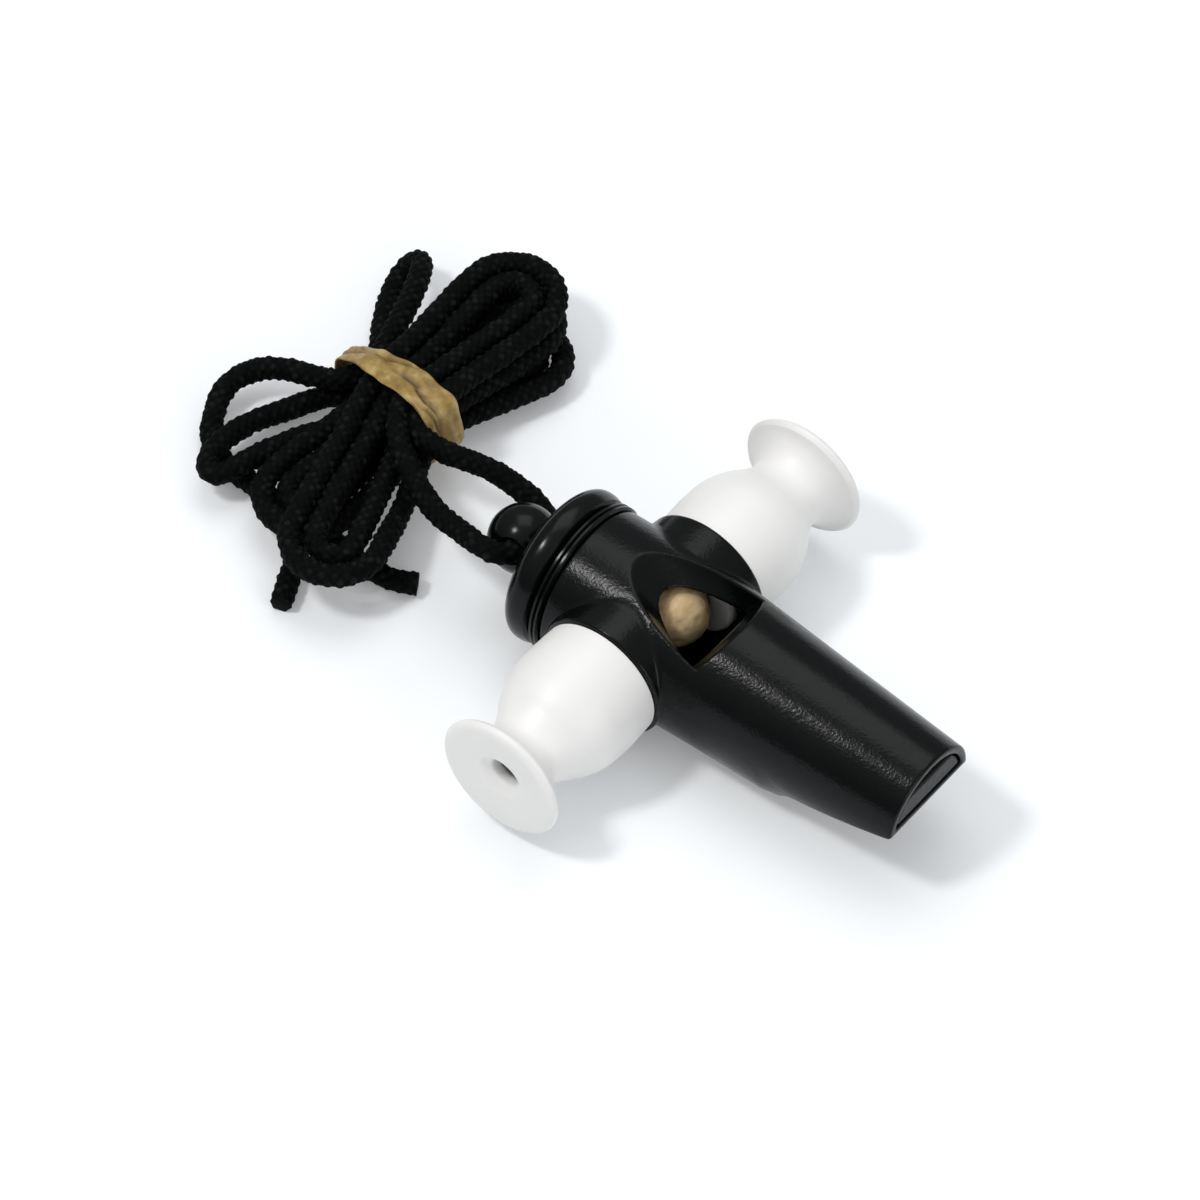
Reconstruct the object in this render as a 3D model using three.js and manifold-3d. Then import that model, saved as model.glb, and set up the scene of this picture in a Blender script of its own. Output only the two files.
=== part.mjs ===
import * as THREE from "three";
import { mergeVertices } from "three/addons/utils/BufferGeometryUtils.js";
import Module from "manifold-3d";

const wasm = await Module();
wasm.setup();

// Driving sizes in mm: X from the tone tube axis to the mouth, Z from the body axis
const bodyRearX = -11.3;
const bodyWideX = 4;
const bodyWideR = 11.5;
const rearDraft = 0.4;
const bodyTipX = 46.4;
const bodyTipR = 8.65;
const bossR = 9.76;
const bossProud = 0.2;
const chamberR = 7.9;
const chamberEndX = 12;
const tipBoreR = 7.3;
const socketR = 7.7;
const beakStartX = 26.2;
const beakStartZ = -5.5;
const beakAngle = THREE.MathUtils.degToRad(15.5);
const beakFloor = 1.1;
const bellyInset = 0.15;
const bellyEndX = 25;
const bellyEndR = 10.05;
const bellyDrop = 1.35;
const bellyTaper = 4.5;
const bellyTaperR = 9.1;
const shoulderAngle = THREE.MathUtils.degToRad(57);
const windowApexX = -3.9;
const windowR = 7.5;
const windowAngle = THREE.MathUtils.degToRad(34);
const windowLength = 15.4;
const blockFrontX = 11.43;
const blockTipRecess = 0.2;
const windwayFrontZ = 6.6;
const windwayTipZ = 5.1;
const peaR = 4.7;
const peaX = 1.7;
const peaY = 2.4;
const peaZ = 1.5;

// Tone tube sizes along its own axis, from the body axis outwards
const spigotEndY = 7.5;
const bulbBaseR = 9.2;
const bulbR = 9.4;
const bulbWideY = 17;
const shoulderY = 23.6;
const shoulderR = 8;
const neckY = 28.2;
const neckR = 5.65;
const discR = 9.55;
const discRimY = 33.1;
const discRimHalf = 1.0;
const discDish = 0.6;
const tubeBoreR = 3.6;
const tubeBoreEndY = 30.8;
const fingerHoleR = 2.2;
const fingerSinkR = 3.4;

// End cap sizes
const knobR = 5;
const knobX = -22.6;
const knobNeckR = 4.2;
const cordHoleX = -21.6;
const cordHoleR = 1.8;
const capRoll = THREE.MathUtils.degToRad(-25);
const flangeLip = 0.25;
const flangeRearX = -18.6;
const flangeWideX = -15.4;
const flangeFrontX = -13.4;
const grooveR = 10.1;
const grooveW = 0.5;
const ringProud = 0.35;
const ringNotch = 0.35;

// Fits, and the sizes that follow the body
const fitGap = 0.3;
const seatGap = 0.1;
const bodyRearR = bodyWideR - rearDraft;
const bossY = bodyWideR + bossProud;
const ringR = bodyRearR + ringProud;
const flangeR = ringR + flangeLip;

// Cord and hank sizes, in the frame of the finished part
const cordD = 2.9;
const cordSides = 8;
const strandPitch = 3.45;
const layerStep = 3.5;
const bandW = 4.2;
const bandT = 0.9;
const bandPlace = -1;
const floorGap = 0.1;
const waistCentre = new THREE.Vector2(-60.9, 11.5);
const hankTurn = THREE.MathUtils.degToRad(-8);
const upReach = 27;
const upShorter = 0.9;
const upBendR = 6.4;
const upLean = [7.5, 0.5, -6.5];
const downReach = 33.5;
const downShorter = 7.5;
const downBendR = 6.1;
const downLean = [29, 5, 8];
const hankStart = -0.012;
const outerEnd = 2.535;
const innerEnd = 2.6;
const loopSteps = 52;
const waistHalf = 1.5 * strandPitch;
const waistZ = floorGap + bandT + fitGap + cordD / 2;

// Helpers for closed solids
function solid(geometry) {
  const bare = geometry.index ? geometry.toNonIndexed() : geometry.clone();
  bare.deleteAttribute("normal");
  bare.deleteAttribute("uv");
  const merged = mergeVertices(bare, 1e-4);
  const position = merged.attributes.position;
  const index = merged.index.array;
  const kept = [];
  const a = new THREE.Vector3();
  const b = new THREE.Vector3();
  const c = new THREE.Vector3();
  let volume = 0;
  for (let i = 0; i < index.length; i += 3) {
    const [p, q, r] = [index[i], index[i + 1], index[i + 2]];
    if (p === q || q === r || r === p) continue;
    a.fromBufferAttribute(position, p);
    b.fromBufferAttribute(position, q);
    c.fromBufferAttribute(position, r);
    volume += a.dot(b.cross(c));
    kept.push(p, q, r);
  }
  if (volume < 0) kept.reverse();
  const mesh = new wasm.Mesh({
    numProp: 3,
    vertProperties: new Float32Array(position.array),
    triVerts: new Uint32Array(kept),
  });
  return new wasm.Manifold(mesh);
}

function geometryOf(body) {
  const mesh = body.getMesh();
  const geometry = new THREE.BufferGeometry();
  const points = new Float32Array(mesh.vertProperties);
  geometry.setAttribute("position", new THREE.BufferAttribute(points, 3));
  geometry.setIndex(Array.from(mesh.triVerts));
  geometry.computeVertexNormals();
  return geometry;
}

// A profile of radius and distance turned about X
function turnedX(profile, segments) {
  const points = profile.map(([r, x]) => new THREE.Vector2(r, x));
  const geometry = new THREE.LatheGeometry(points, segments);
  geometry.rotateZ(-Math.PI / 2);
  return solid(geometry);
}

// A round bar along Y
function barY(radius, length, x, z, segments) {
  const geometry = new THREE.CylinderGeometry(radius, radius, length, segments);
  geometry.translate(x, 0, z);
  return solid(geometry);
}

// A large block whose top face lies on a sloped plane, or whose bottom face does
function halfSpace(x, z, angle, lift, above) {
  const size = 120;
  const geometry = new THREE.BoxGeometry(size, size, size);
  geometry.translate(0, 0, above ? size / 2 + lift : lift - size / 2);
  geometry.rotateY(-angle);
  geometry.translate(x, 0, z);
  return solid(geometry);
}

// Body: shell with bosses, sockets, chamber, windway and window
const round = 48;
const tubeRound = 40;
const bodyOuter = turnedX([
  [0, bodyRearX],
  [bodyRearR - 0.3, bodyRearX],
  [bodyRearR, bodyRearX + 0.3],
  [bodyWideR - 0.03, bodyWideX - 3],
  [bodyWideR, bodyWideX],
  [bodyWideR - 0.12, bodyWideX + 3],
  [bodyTipR, bodyTipX - 0.5],
  [bodyTipR - 0.15, bodyTipX - 0.12],
  [bodyTipR - 0.4, bodyTipX],
  [0, bodyTipX],
], round);
const bosses = barY(bossR, 2 * bossY, 0, 0, round);
const bellyGeometry = new THREE.LatheGeometry([
  new THREE.Vector2(0, 0),
  new THREE.Vector2(bodyWideR - bellyInset, 0),
  new THREE.Vector2(bellyEndR, bellyEndX - bodyWideX),
  new THREE.Vector2(bellyTaperR, bellyEndX - bodyWideX + bellyTaper),
  new THREE.Vector2(0, bellyEndX - bodyWideX + bellyTaper),
], round);
bellyGeometry.rotateZ(-Math.PI / 2);
const bellyFall = bellyDrop / (bellyEndX - bodyWideX);
bellyGeometry.applyMatrix4(new THREE.Matrix4().makeShear(0, -bellyFall, 0, 0, 0, 0));
bellyGeometry.translate(bodyWideX, 0, 0);
const belly = solid(bellyGeometry);
const shoulderCut = halfSpace(bellyEndX, -bellyEndR - bellyDrop, shoulderAngle, 0, false);
const beakCut = halfSpace(beakStartX, beakStartZ, beakAngle, 0, false).intersect(shoulderCut);
const beakFloorCut = halfSpace(beakStartX, beakStartZ, beakAngle, beakFloor, false);
const bore = turnedX([
  [0, bodyRearX - 1],
  [chamberR, bodyRearX - 1],
  [chamberR, chamberEndX],
  [tipBoreR, bodyTipX],
  [tipBoreR, bodyTipX + 1],
  [0, bodyTipX + 1],
], round).subtract(beakFloorCut);
const sockets = barY(socketR, 2 * bossY + 4, 0, 0, round);
const windowTail = 24;
const windowGeometry = new THREE.CylinderGeometry(windowR, windowR, windowLength + windowTail, round);
windowGeometry.rotateZ(Math.PI / 2);
windowGeometry.translate((windowLength - windowTail) / 2, 0, windowR);
windowGeometry.rotateY(windowAngle);
windowGeometry.translate(windowApexX, 0, bodyWideR);
const windowCut = solid(windowGeometry);
const body = bodyOuter.add(belly).add(bosses).subtract(beakCut).subtract(bore).subtract(sockets)
  .subtract(windowCut);

// Fipple block: fills the mouthpiece bore up to the windway floor
const windwaySlope = Math.atan2(windwayTipZ - windwayFrontZ, bodyTipX - blockFrontX);
const windwayCut = halfSpace(blockFrontX, windwayFrontZ, windwaySlope, 0, true);
const blockFloorCut = halfSpace(beakStartX, beakStartZ, beakAngle, beakFloor + fitGap, false);
const block = turnedX([
  [0, blockFrontX],
  [chamberR - fitGap, blockFrontX],
  [chamberR - fitGap, chamberEndX],
  [tipBoreR - fitGap, bodyTipX - blockTipRecess],
  [0, bodyTipX - blockTipRecess],
], round).subtract(windwayCut).subtract(blockFloorCut);

// Pea: a loose ball
const peaGeometry = new THREE.SphereGeometry(peaR, 28, 18);
peaGeometry.translate(peaX, peaY, peaZ);
const pea = solid(peaGeometry);

// Tone tube: one closed turned profile, outside then bore
function toneTube(side) {
  const flank = new THREE.SplineCurve([
    new THREE.Vector2(bulbBaseR, bossY + seatGap),
    new THREE.Vector2(bulbR - 0.05, bulbWideY - 2.6),
    new THREE.Vector2(bulbR, bulbWideY),
    new THREE.Vector2(bulbR - 0.3, bulbWideY + 3.6),
    new THREE.Vector2(shoulderR, shoulderY),
    new THREE.Vector2((shoulderR + neckR) / 2 - 0.1, shoulderY + 2.1),
    new THREE.Vector2(neckR, neckY),
    new THREE.Vector2(neckR + 0.5, neckY + 1.8),
    new THREE.Vector2(discR - 1.9, discRimY - 1.4),
    new THREE.Vector2(discR - 0.4, discRimY - 0.6),
  ]).getPoints(20);
  const face = discRimY + discRimHalf;
  const profile = [
    new THREE.Vector2(tubeBoreR, spigotEndY),
    new THREE.Vector2(socketR - fitGap - 0.4, spigotEndY),
    new THREE.Vector2(socketR - fitGap, spigotEndY + 0.4),
    new THREE.Vector2(socketR - fitGap, bossY + seatGap),
    ...flank,
    new THREE.Vector2(discR, discRimY),
    new THREE.Vector2(discR - 0.2, discRimY + 0.55 * discRimHalf),
    new THREE.Vector2(discR - 0.7, face - 0.08),
    new THREE.Vector2(discR - 1.2, face),
    new THREE.Vector2(fingerSinkR, face - discDish),
    new THREE.Vector2(fingerHoleR, face - discDish - 1.1),
    new THREE.Vector2(fingerHoleR, tubeBoreEndY),
    new THREE.Vector2(tubeBoreR, tubeBoreEndY - 1),
    new THREE.Vector2(tubeBoreR, spigotEndY),
  ];
  const geometry = new THREE.LatheGeometry(profile, tubeRound);
  if (side < 0) geometry.rotateX(Math.PI);
  return solid(geometry);
}

// End cap: ball knob, flange, groove, fine rings and plug
const seatX = bodyRearX - seatGap;
const plugEndX = -(socketR + 0.2);
const grooveFrontX = flangeFrontX + grooveW;
const ringW = (seatX - grooveFrontX) / 2;
const knobArc = [];
const knobSteps = 11;
const neckAngle = Math.PI - Math.asin(knobNeckR / knobR);
for (let i = 0; i <= knobSteps; i += 1) {
  const angle = (neckAngle * i) / knobSteps;
  knobArc.push([i === 0 ? 0 : knobR * Math.sin(angle), knobX - knobR * Math.cos(angle)]);
}
const flangeArc = [];
const flangeSteps = 7;
for (let i = 0; i <= flangeSteps; i += 1) {
  const angle = (Math.PI / 2) * (i / flangeSteps);
  const reach = flangeR - knobNeckR - 0.6;
  flangeArc.push([
    knobNeckR + 0.6 + reach * Math.sin(angle) ** 0.8,
    flangeWideX - (flangeWideX - flangeRearX) * Math.cos(angle) ** 0.9,
  ]);
}
const capOuter = turnedX([
  ...knobArc,
  [knobNeckR, flangeRearX - 0.4],
  ...flangeArc,
  [flangeR - 0.06, flangeWideX + 0.8],
  [flangeR - 0.35, flangeFrontX - 0.35],
  [flangeR - 0.8, flangeFrontX],
  [grooveR, flangeFrontX],
  [grooveR, grooveFrontX],
  [ringR - 0.3, grooveFrontX],
  [ringR, grooveFrontX + 0.3 * ringW],
  [ringR, grooveFrontX + 0.7 * ringW],
  [ringR - ringNotch, grooveFrontX + ringW],
  [ringR, grooveFrontX + 1.3 * ringW],
  [ringR, grooveFrontX + 1.7 * ringW],
  [ringR - 0.35, seatX],
  [chamberR - fitGap, seatX],
  [chamberR - fitGap, plugEndX - 0.4],
  [chamberR - fitGap - 0.4, plugEndX],
  [0, plugEndX],
], round);
const holeBar = barY(cordHoleR, 4 * knobR, cordHoleX, 0, 20).rotate([THREE.MathUtils.radToDeg(capRoll), 0, 0]);
const cap = capOuter.subtract(holeBar);

// The finished part's frame: middle of the length, flange resting on the floor
const shift = new THREE.Vector3(-(bodyTipX + knobX - knobR) / 2, 0, flangeR);

// Hank: two strands wound side by side from the top down, each half turn a run out, a bend and a run back
function outline(turn) {
  const rounds = Math.max(Math.floor(turn), 0);
  const upper = THREE.MathUtils.euclideanModulo(turn, 1) < 0.5;
  const reach = upper ? upReach - upShorter * rounds : downReach - downShorter * rounds;
  const bend = upper ? upBendR : downBendR;
  const run = reach - bend;
  const whole = 2 * run + Math.PI * bend;
  const gone = THREE.MathUtils.euclideanModulo(turn, 0.5) * 2 * whole;
  const left = whole - gone;
  const spot = new THREE.Vector2();
  if (Math.min(gone, left) < run) {
    const y = Math.min(gone, left);
    const x = waistHalf + (bend - waistHalf) * THREE.MathUtils.smoothstep(y, 0, run);
    spot.set(gone < left ? x : -x, y);
  } else {
    const angle = (gone - run) / bend;
    spot.set(bend * Math.cos(angle), run + bend * Math.sin(angle));
  }
  return upper ? spot : spot.negate();
}

// The loops fan out round by round, above the waist and below it
function between(leans, rounds) {
  const first = Math.min(Math.floor(rounds), leans.length - 2);
  return THREE.MathUtils.lerp(leans[first], leans[first + 1], rounds - first);
}

function lean(turn, along) {
  const low = THREE.MathUtils.smoothstep(-along, -9, 11);
  const rounds = THREE.MathUtils.smoothstep(turn, 0.9, 1.3) + THREE.MathUtils.smoothstep(turn, 1.9, 2.3);
  const up = between(upLean, rounds);
  const down = turn < 0.25 ? up : between(downLean, rounds);
  return THREE.MathUtils.degToRad(up + (down - up) * low);
}

// The top loop's outer side sags where nothing lies under it
function sag(spot) {
  const side = THREE.MathUtils.radToDeg(Math.atan2(spot.x, -spot.y));
  const out = THREE.MathUtils.smoothstep(spot.length(), 9, 22);
  return spot.y < 0 ? 3 * THREE.MathUtils.smoothstep(side, 27, 40) * out : 0;
}

function hankPoint(turn, inset) {
  const here = outline(turn);
  const step = 1e-3;
  const tangent = outline(turn + step).sub(outline(turn - step)).normalize();
  here.x -= inset * tangent.y;
  here.y += inset * tangent.x;
  here.rotateAround(new THREE.Vector2(0, 0), lean(turn, here.y) + hankTurn);
  const first = 1 - THREE.MathUtils.smoothstep(turn, -0.02, 0.14);
  const height = waistZ + layerStep * (2.5 - turn) + 0.5 * first - sag(here);
  here.add(waistCentre);
  return new THREE.Vector3(here.x, here.y, height);
}

function hankLine(inset, end) {
  const steps = Math.round((end - hankStart) * loopSteps);
  const points = [];
  for (let i = 0; i <= steps; i += 1) {
    points.push(hankPoint(hankStart + ((end - hankStart) * i) / steps, inset));
  }
  return points;
}

// A closed tube through given points with flat ends
function tubeThrough(points, radius, sides) {
  const count = points.length;
  const rings = [];
  let normal = new THREE.Vector3(0, 0, 1);
  for (let i = 0; i < count; i += 1) {
    const ahead = points[Math.min(i + 1, count - 1)];
    const behind = points[Math.max(i - 1, 0)];
    const tangent = ahead.clone().sub(behind).normalize();
    normal = normal.clone().addScaledVector(tangent, -normal.dot(tangent)).normalize();
    const across = tangent.clone().cross(normal);
    for (let k = 0; k < sides; k += 1) {
      const angle = (2 * Math.PI * k) / sides;
      const rim = points[i].clone();
      rim.addScaledVector(normal, radius * Math.cos(angle));
      rim.addScaledVector(across, radius * Math.sin(angle));
      rings.push(rim.x, rim.y, rim.z);
    }
  }
  const index = [];
  for (let i = 0; i + 1 < count; i += 1) {
    for (let k = 0; k < sides; k += 1) {
      const a = i * sides + k;
      const b = i * sides + ((k + 1) % sides);
      index.push(a, b, b + sides, a, b + sides, a + sides);
    }
  }
  const last = (count - 1) * sides;
  for (let k = 1; k + 1 < sides; k += 1) {
    index.push(0, k + 1, k, last, last + k, last + k + 1);
  }
  const geometry = new THREE.BufferGeometry();
  geometry.setAttribute("position", new THREE.Float32BufferAttribute(rings, 3));
  geometry.setIndex(index);
  return solid(geometry);
}

// A free stretch of cord along chosen points
function cordAlong(points, steps) {
  const path = new THREE.CatmullRomCurve3(points, false, "centripetal");
  const section = new THREE.Shape();
  for (let k = 0; k < cordSides; k += 1) {
    const angle = (2 * Math.PI * (k + 0.5)) / cordSides;
    const [x, y] = [(cordD / 2) * Math.cos(angle), (cordD / 2) * Math.sin(angle)];
    if (k === 0) section.moveTo(x, y);
    else section.lineTo(x, y);
  }
  section.closePath();
  const geometry = new THREE.ExtrudeGeometry(section, { steps, extrudePath: path, bevelEnabled: false });
  return { solid: solid(geometry), line: path.getSpacedPoints(6 * steps) };
}

// Points between the points of a line
function finer(line) {
  const points = [];
  for (let i = 0; i + 1 < line.length; i += 1) {
    for (let k = 0; k < 6; k += 1) points.push(line[i].clone().lerp(line[i + 1], k / 6));
  }
  return points;
}

const at = (x, y, z) => new THREE.Vector3(x, y, z);
const outerLine = hankLine(0, outerEnd);
const innerLine = hankLine(strandPitch, innerEnd);

// A point a little before the start or past the end of a line, to meet it face to face
function beyond(line, end, distance) {
  const tip = end ? line[line.length - 1] : line[0];
  const next = end ? line[line.length - 2] : line[1];
  return tip.clone().addScaledVector(tip.clone().sub(next).normalize(), distance);
}

const eye = (distance) => {
  const spot = at(cordHoleX, distance * Math.cos(capRoll), distance * Math.sin(capRoll));
  return spot.add(shift);
};
const leadFar = cordAlong([
  eye(0.2),
  eye(2.4),
  eye(4.8),
  at(-32.3, 6.2, 9.2),
  at(-35.0, 7.2, 9.6),
  at(-39.2, 7.0, 10.8),
  at(-43.9, 6.3, 11.7),
  at(-48.1, 4.9, 12.0),
  at(-51.6, 4.4, 12.1),
  at(-54.3, 5.0, 12.1),
  beyond(outerLine, false, 2.5),
  beyond(outerLine, false, 0.35),
], 22);
const leadNear = cordAlong([
  eye(-0.2),
  eye(-2.4),
  eye(-4.8),
  at(-32.2, -6.0, 14.3),
  at(-35.0, -6.2, 14.2),
  at(-38.6, -5.3, 13.0),
  at(-42.4, -4.6, 12.2),
  at(-46.6, -3.2, 12.0),
  at(-50.6, -1.1, 12.0),
  at(-54.4, 1.2, 12.1),
  at(-57.5, 4.2, 12.1),
  beyond(innerLine, false, 1.9),
  beyond(innerLine, false, 0.35),
], 22);

// The outer strand's end strays: a bight and back, an ear past the waist, an arch and a cut end
const along = new THREE.Vector2(0, 1).rotateAround(new THREE.Vector2(0, 0), hankTurn);
const across = new THREE.Vector2(1, 0).rotateAround(new THREE.Vector2(0, 0), hankTurn);
function inWaist(q, p, z) {
  const spot = waistCentre.clone().addScaledVector(across, q).addScaledVector(along, p);
  return at(spot.x, spot.y, z);
}
const strayQ = -(waistHalf + strandPitch + 0.4);
const bight = cordAlong([
  beyond(outerLine, true, 0.35),
  beyond(outerLine, true, 1.8),
  at(-68.6, 3.2, 2.7),
  at(-70.3, -0.4, 3.3),
  at(-71.7, -5.2, 4.2),
  at(-72.8, -10.0, 5.0),
  at(-73.3, -12.4, 5.2),
  at(-74.2, -14.2, 5.2),
  at(-75.7, -14.5, 5.2),
  at(-76.9, -13.2, 5.2),
  at(-77.6, -10.2, 5.0),
  at(-77.5, -6.6, 4.5),
  at(-76.9, -2.6, 3.7),
  at(-75.3, 2.2, 2.7),
  at(-73.0, 7.0, 2.6),
  inWaist(strayQ, -2.4, waistZ),
  inWaist(strayQ, -1.2, waistZ),
  inWaist(strayQ, -0.15, waistZ),
], 28);
const ear = cordAlong([
  inWaist(strayQ, 0.15, waistZ),
  inWaist(strayQ, 2.0, waistZ),
  at(-71.1, 17.1, 2.4),
  at(-73.9, 21.2, 1.8),
  at(-76.3, 25.1, 1.6),
  at(-78.0, 29.0, 1.8),
  at(-78.4, 31.9, 2.9),
  at(-77.3, 33.3, 4.5),
  at(-75.6, 32.3, 5.9),
  at(-73.9, 29.3, 6.6),
  at(-72.4, 25.5, 6.8),
  at(-71.1, 21.2, 6.7),
  at(-70.2, 17.5, 6.4),
  inWaist(strayQ, 2.0, waistZ + layerStep),
  inWaist(strayQ, 0.15, waistZ + layerStep),
], 24);
const arch = cordAlong([
  inWaist(strayQ, -0.15, waistZ + layerStep),
  inWaist(strayQ, -1.9, waistZ + layerStep),
  at(-71.9, 8.3, 6.3),
  at(-75.2, 6.9, 6.0),
  at(-79.2, 5.7, 5.4),
  at(-82.3, 3.1, 4.8),
  at(-83.7, -0.7, 4.0),
  at(-82.4, -5.1, 2.8),
  at(-80.1, -8.2, 1.7),
  at(-76.4, -9.9, 1.5),
  at(-71.6, -10.2, 1.5),
  at(-65.8, -11.1, 1.5),
  at(-61.2, -13.2, 1.5),
  at(-58.3, -16.8, 1.5),
  at(-56.2, -21.2, 1.5),
  at(-55.0, -23.8, 1.5),
], 26);
const tail = cordAlong([
  beyond(innerLine, true, 0.35),
  beyond(innerLine, true, 1.6),
  at(-61.4, -8.8, 1.6),
  at(-57.0, -10.6, 1.5),
  at(-52.0, -11.3, 1.5),
  at(-47.2, -11.1, 1.5),
  at(-45.0, -10.4, 1.5),
  at(-42.8, -9.2, 1.5),
], 14);

// Rubber band: a ring that follows the strands through the waist
const strands = [];
const passing = [...finer(outerLine), ...finer(innerLine), ...leadFar.line, ...leadNear.line];
passing.push(...bight.line, ...ear.line, ...arch.line);
for (const point of passing) {
  const spot = new THREE.Vector2(point.x, point.y).sub(waistCentre);
  if (Math.abs(spot.dot(along) - bandPlace) > bandW / 2 + 0.3 || spot.length() > 14) continue;
  strands.push([spot.dot(across), point.z]);
}
function hullRound(radius) {
  const cloud = [];
  for (const [q, z] of strands) {
    for (let k = 0; k < 24; k += 1) {
      const angle = (2 * Math.PI * k) / 24;
      cloud.push(new THREE.Vector2(q + radius * Math.cos(angle), z + radius * Math.sin(angle)));
    }
  }
  cloud.sort((a, b) => a.x - b.x || a.y - b.y);
  const turnsLeft = (a, b, c) => (b.x - a.x) * (c.y - a.y) - (b.y - a.y) * (c.x - a.x) > 1e-6;
  const chain = (points) => {
    const kept = [];
    for (const point of points) {
      while (kept.length > 1 && !turnsLeft(kept[kept.length - 2], kept[kept.length - 1], point)) kept.pop();
      kept.push(point);
    }
    kept.pop();
    return kept;
  };
  return [...chain(cloud), ...chain(cloud.slice().reverse())];
}
const bandShape = new THREE.Shape(hullRound(cordD / 2 + fitGap + bandT));
bandShape.holes.push(new THREE.Path(hullRound(cordD / 2 + fitGap)));
const bandGeometry = new THREE.ExtrudeGeometry(bandShape, { depth: bandW, bevelEnabled: false });
bandGeometry.translate(0, 0, -bandW / 2);
bandGeometry.rotateX(Math.PI / 2);
bandGeometry.translate(0, bandPlace, 0);
bandGeometry.rotateZ(hankTurn);
bandGeometry.translate(waistCentre.x, waistCentre.y, 0);
const band = solid(bandGeometry);

// Assemble the group, one named mesh per piece
const group = new THREE.Group();
function addPiece(name, piece, color, roughness) {
  const material = new THREE.MeshStandardMaterial({ color, roughness, metalness: 0 });
  const mesh = new THREE.Mesh(geometryOf(piece), material);
  mesh.name = name;
  group.add(mesh);
}
const placed = (piece) => piece.translate([shift.x, shift.y, shift.z]);
addPiece("body", placed(body), 0x1d2324, 0.45);
addPiece("fipple_block", placed(block), 0x5c5f60, 0.6);
addPiece("pea", placed(pea), 0xc2a878, 0.85);
addPiece("tone_tube_near", placed(toneTube(-1)), 0xecebe8, 0.3);
addPiece("tone_tube_far", placed(toneTube(1)), 0xecebe8, 0.3);
addPiece("end_cap", placed(cap), 0x121415, 0.2);
addPiece("cord_lead_far", leadFar.solid, 0x17191a, 0.8);
addPiece("cord_lead_near", leadNear.solid, 0x17191a, 0.8);
addPiece("cord_hank_outer", tubeThrough(outerLine, cordD / 2, 6), 0x17191a, 0.8);
addPiece("cord_hank_inner", tubeThrough(innerLine, cordD / 2, 6), 0x17191a, 0.8);
addPiece("cord_bight", bight.solid, 0x17191a, 0.8);
addPiece("cord_ear", ear.solid, 0x17191a, 0.8);
addPiece("cord_arch", arch.solid, 0x17191a, 0.8);
addPiece("cord_tail", tail.solid, 0x17191a, 0.8);
addPiece("rubber_band", band, 0xb99a5b, 0.5);

// Least gap between stretches of cord, measured on points along their middles
function leastGap(first, second) {
  let least = Infinity;
  let place = null;
  const own = first === second;
  const steps = [0];
  for (let i = 1; i < first.length; i += 1) steps.push(steps[i - 1] + first[i].distanceTo(first[i - 1]));
  for (let i = 0; i < first.length; i += 1) {
    for (let k = own ? i + 1 : 0; k < second.length; k += 1) {
      if (own && steps[k] - steps[i] < 3 * cordD) continue;
      const gap = first[i].distanceTo(second[k]) - cordD;
      if (gap < least) [least, place] = [gap, first[i]];
    }
  }
  const where = place ? place.toArray().map((v) => v.toFixed(1)).join(" ") : "";
  return `${least.toFixed(2)} at ${where}`;
}
const outerFine = finer(outerLine);
const innerFine = finer(innerLine);
console.log("hank outer strand to itself", leastGap(outerFine, outerFine));
console.log("hank inner strand to itself", leastGap(innerFine, innerFine));
console.log("hank strands to each other", leastGap(outerFine, innerFine));
export default group;
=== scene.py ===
import math

import bmesh
import bpy
import numpy as np
from mathutils import Matrix, Vector


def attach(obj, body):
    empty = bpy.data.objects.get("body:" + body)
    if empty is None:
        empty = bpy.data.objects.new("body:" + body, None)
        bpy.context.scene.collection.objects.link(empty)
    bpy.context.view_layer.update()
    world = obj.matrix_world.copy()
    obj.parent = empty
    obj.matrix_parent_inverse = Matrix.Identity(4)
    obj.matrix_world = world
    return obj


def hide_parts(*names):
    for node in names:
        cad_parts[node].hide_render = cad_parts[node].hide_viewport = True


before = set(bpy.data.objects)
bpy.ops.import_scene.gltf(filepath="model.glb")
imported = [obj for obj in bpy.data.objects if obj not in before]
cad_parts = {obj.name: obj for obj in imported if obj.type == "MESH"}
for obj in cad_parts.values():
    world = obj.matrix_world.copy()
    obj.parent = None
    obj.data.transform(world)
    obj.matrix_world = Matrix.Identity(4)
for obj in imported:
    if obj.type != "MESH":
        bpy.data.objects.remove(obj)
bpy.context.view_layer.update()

# Sizes in mm, as in the part's source: X from the tone tube axis to the mouth, Z from the body axis
MM = 0.001
BODY_REAR_X, BODY_REAR_R = -11.3, 11.1
BODY_WIDE_X, BODY_WIDE_R = 4.0, 11.5
BODY_TIP_X, BODY_TIP_R = 46.4, 8.65
BOSS_R, BOSS_Y = 9.76, 11.7
CHAMBER_R, CHAMBER_END_X = 7.9, 12.0
TIP_BORE_R = 7.3
SOCKET_R = 7.7
BEAK_X, BEAK_Z = 26.2, -5.5
BEAK_ANGLE = math.radians(15.5)
BEAK_FLOOR = 1.1
BELLY_INSET, BELLY_END_X, BELLY_END_R, BELLY_DROP = 0.15, 25.0, 10.05, 1.35
BELLY_TAPER, BELLY_TAPER_R = 4.5, 9.1
SHOULDER_ANGLE = math.radians(57.0)
WINDOW_APEX_X, WINDOW_R = -3.9, 7.5
WINDOW_ANGLE = math.radians(34.0)
WINDOW_LENGTH = 15.4
BLOCK_FRONT_X, BLOCK_RECESS = 11.43, 0.2
WINDWAY_FRONT_Z, WINDWAY_TIP_Z = 6.6, 5.1
PEA_R, PEA_AT = 4.7, (1.7, 2.4, 1.5)
SPIGOT_END_Y = 7.5
BULB_BASE_R, BULB_R, BULB_WIDE_Y = 9.2, 9.4, 17.0
SHOULDER_Y, SHOULDER_R = 23.6, 8.0
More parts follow.
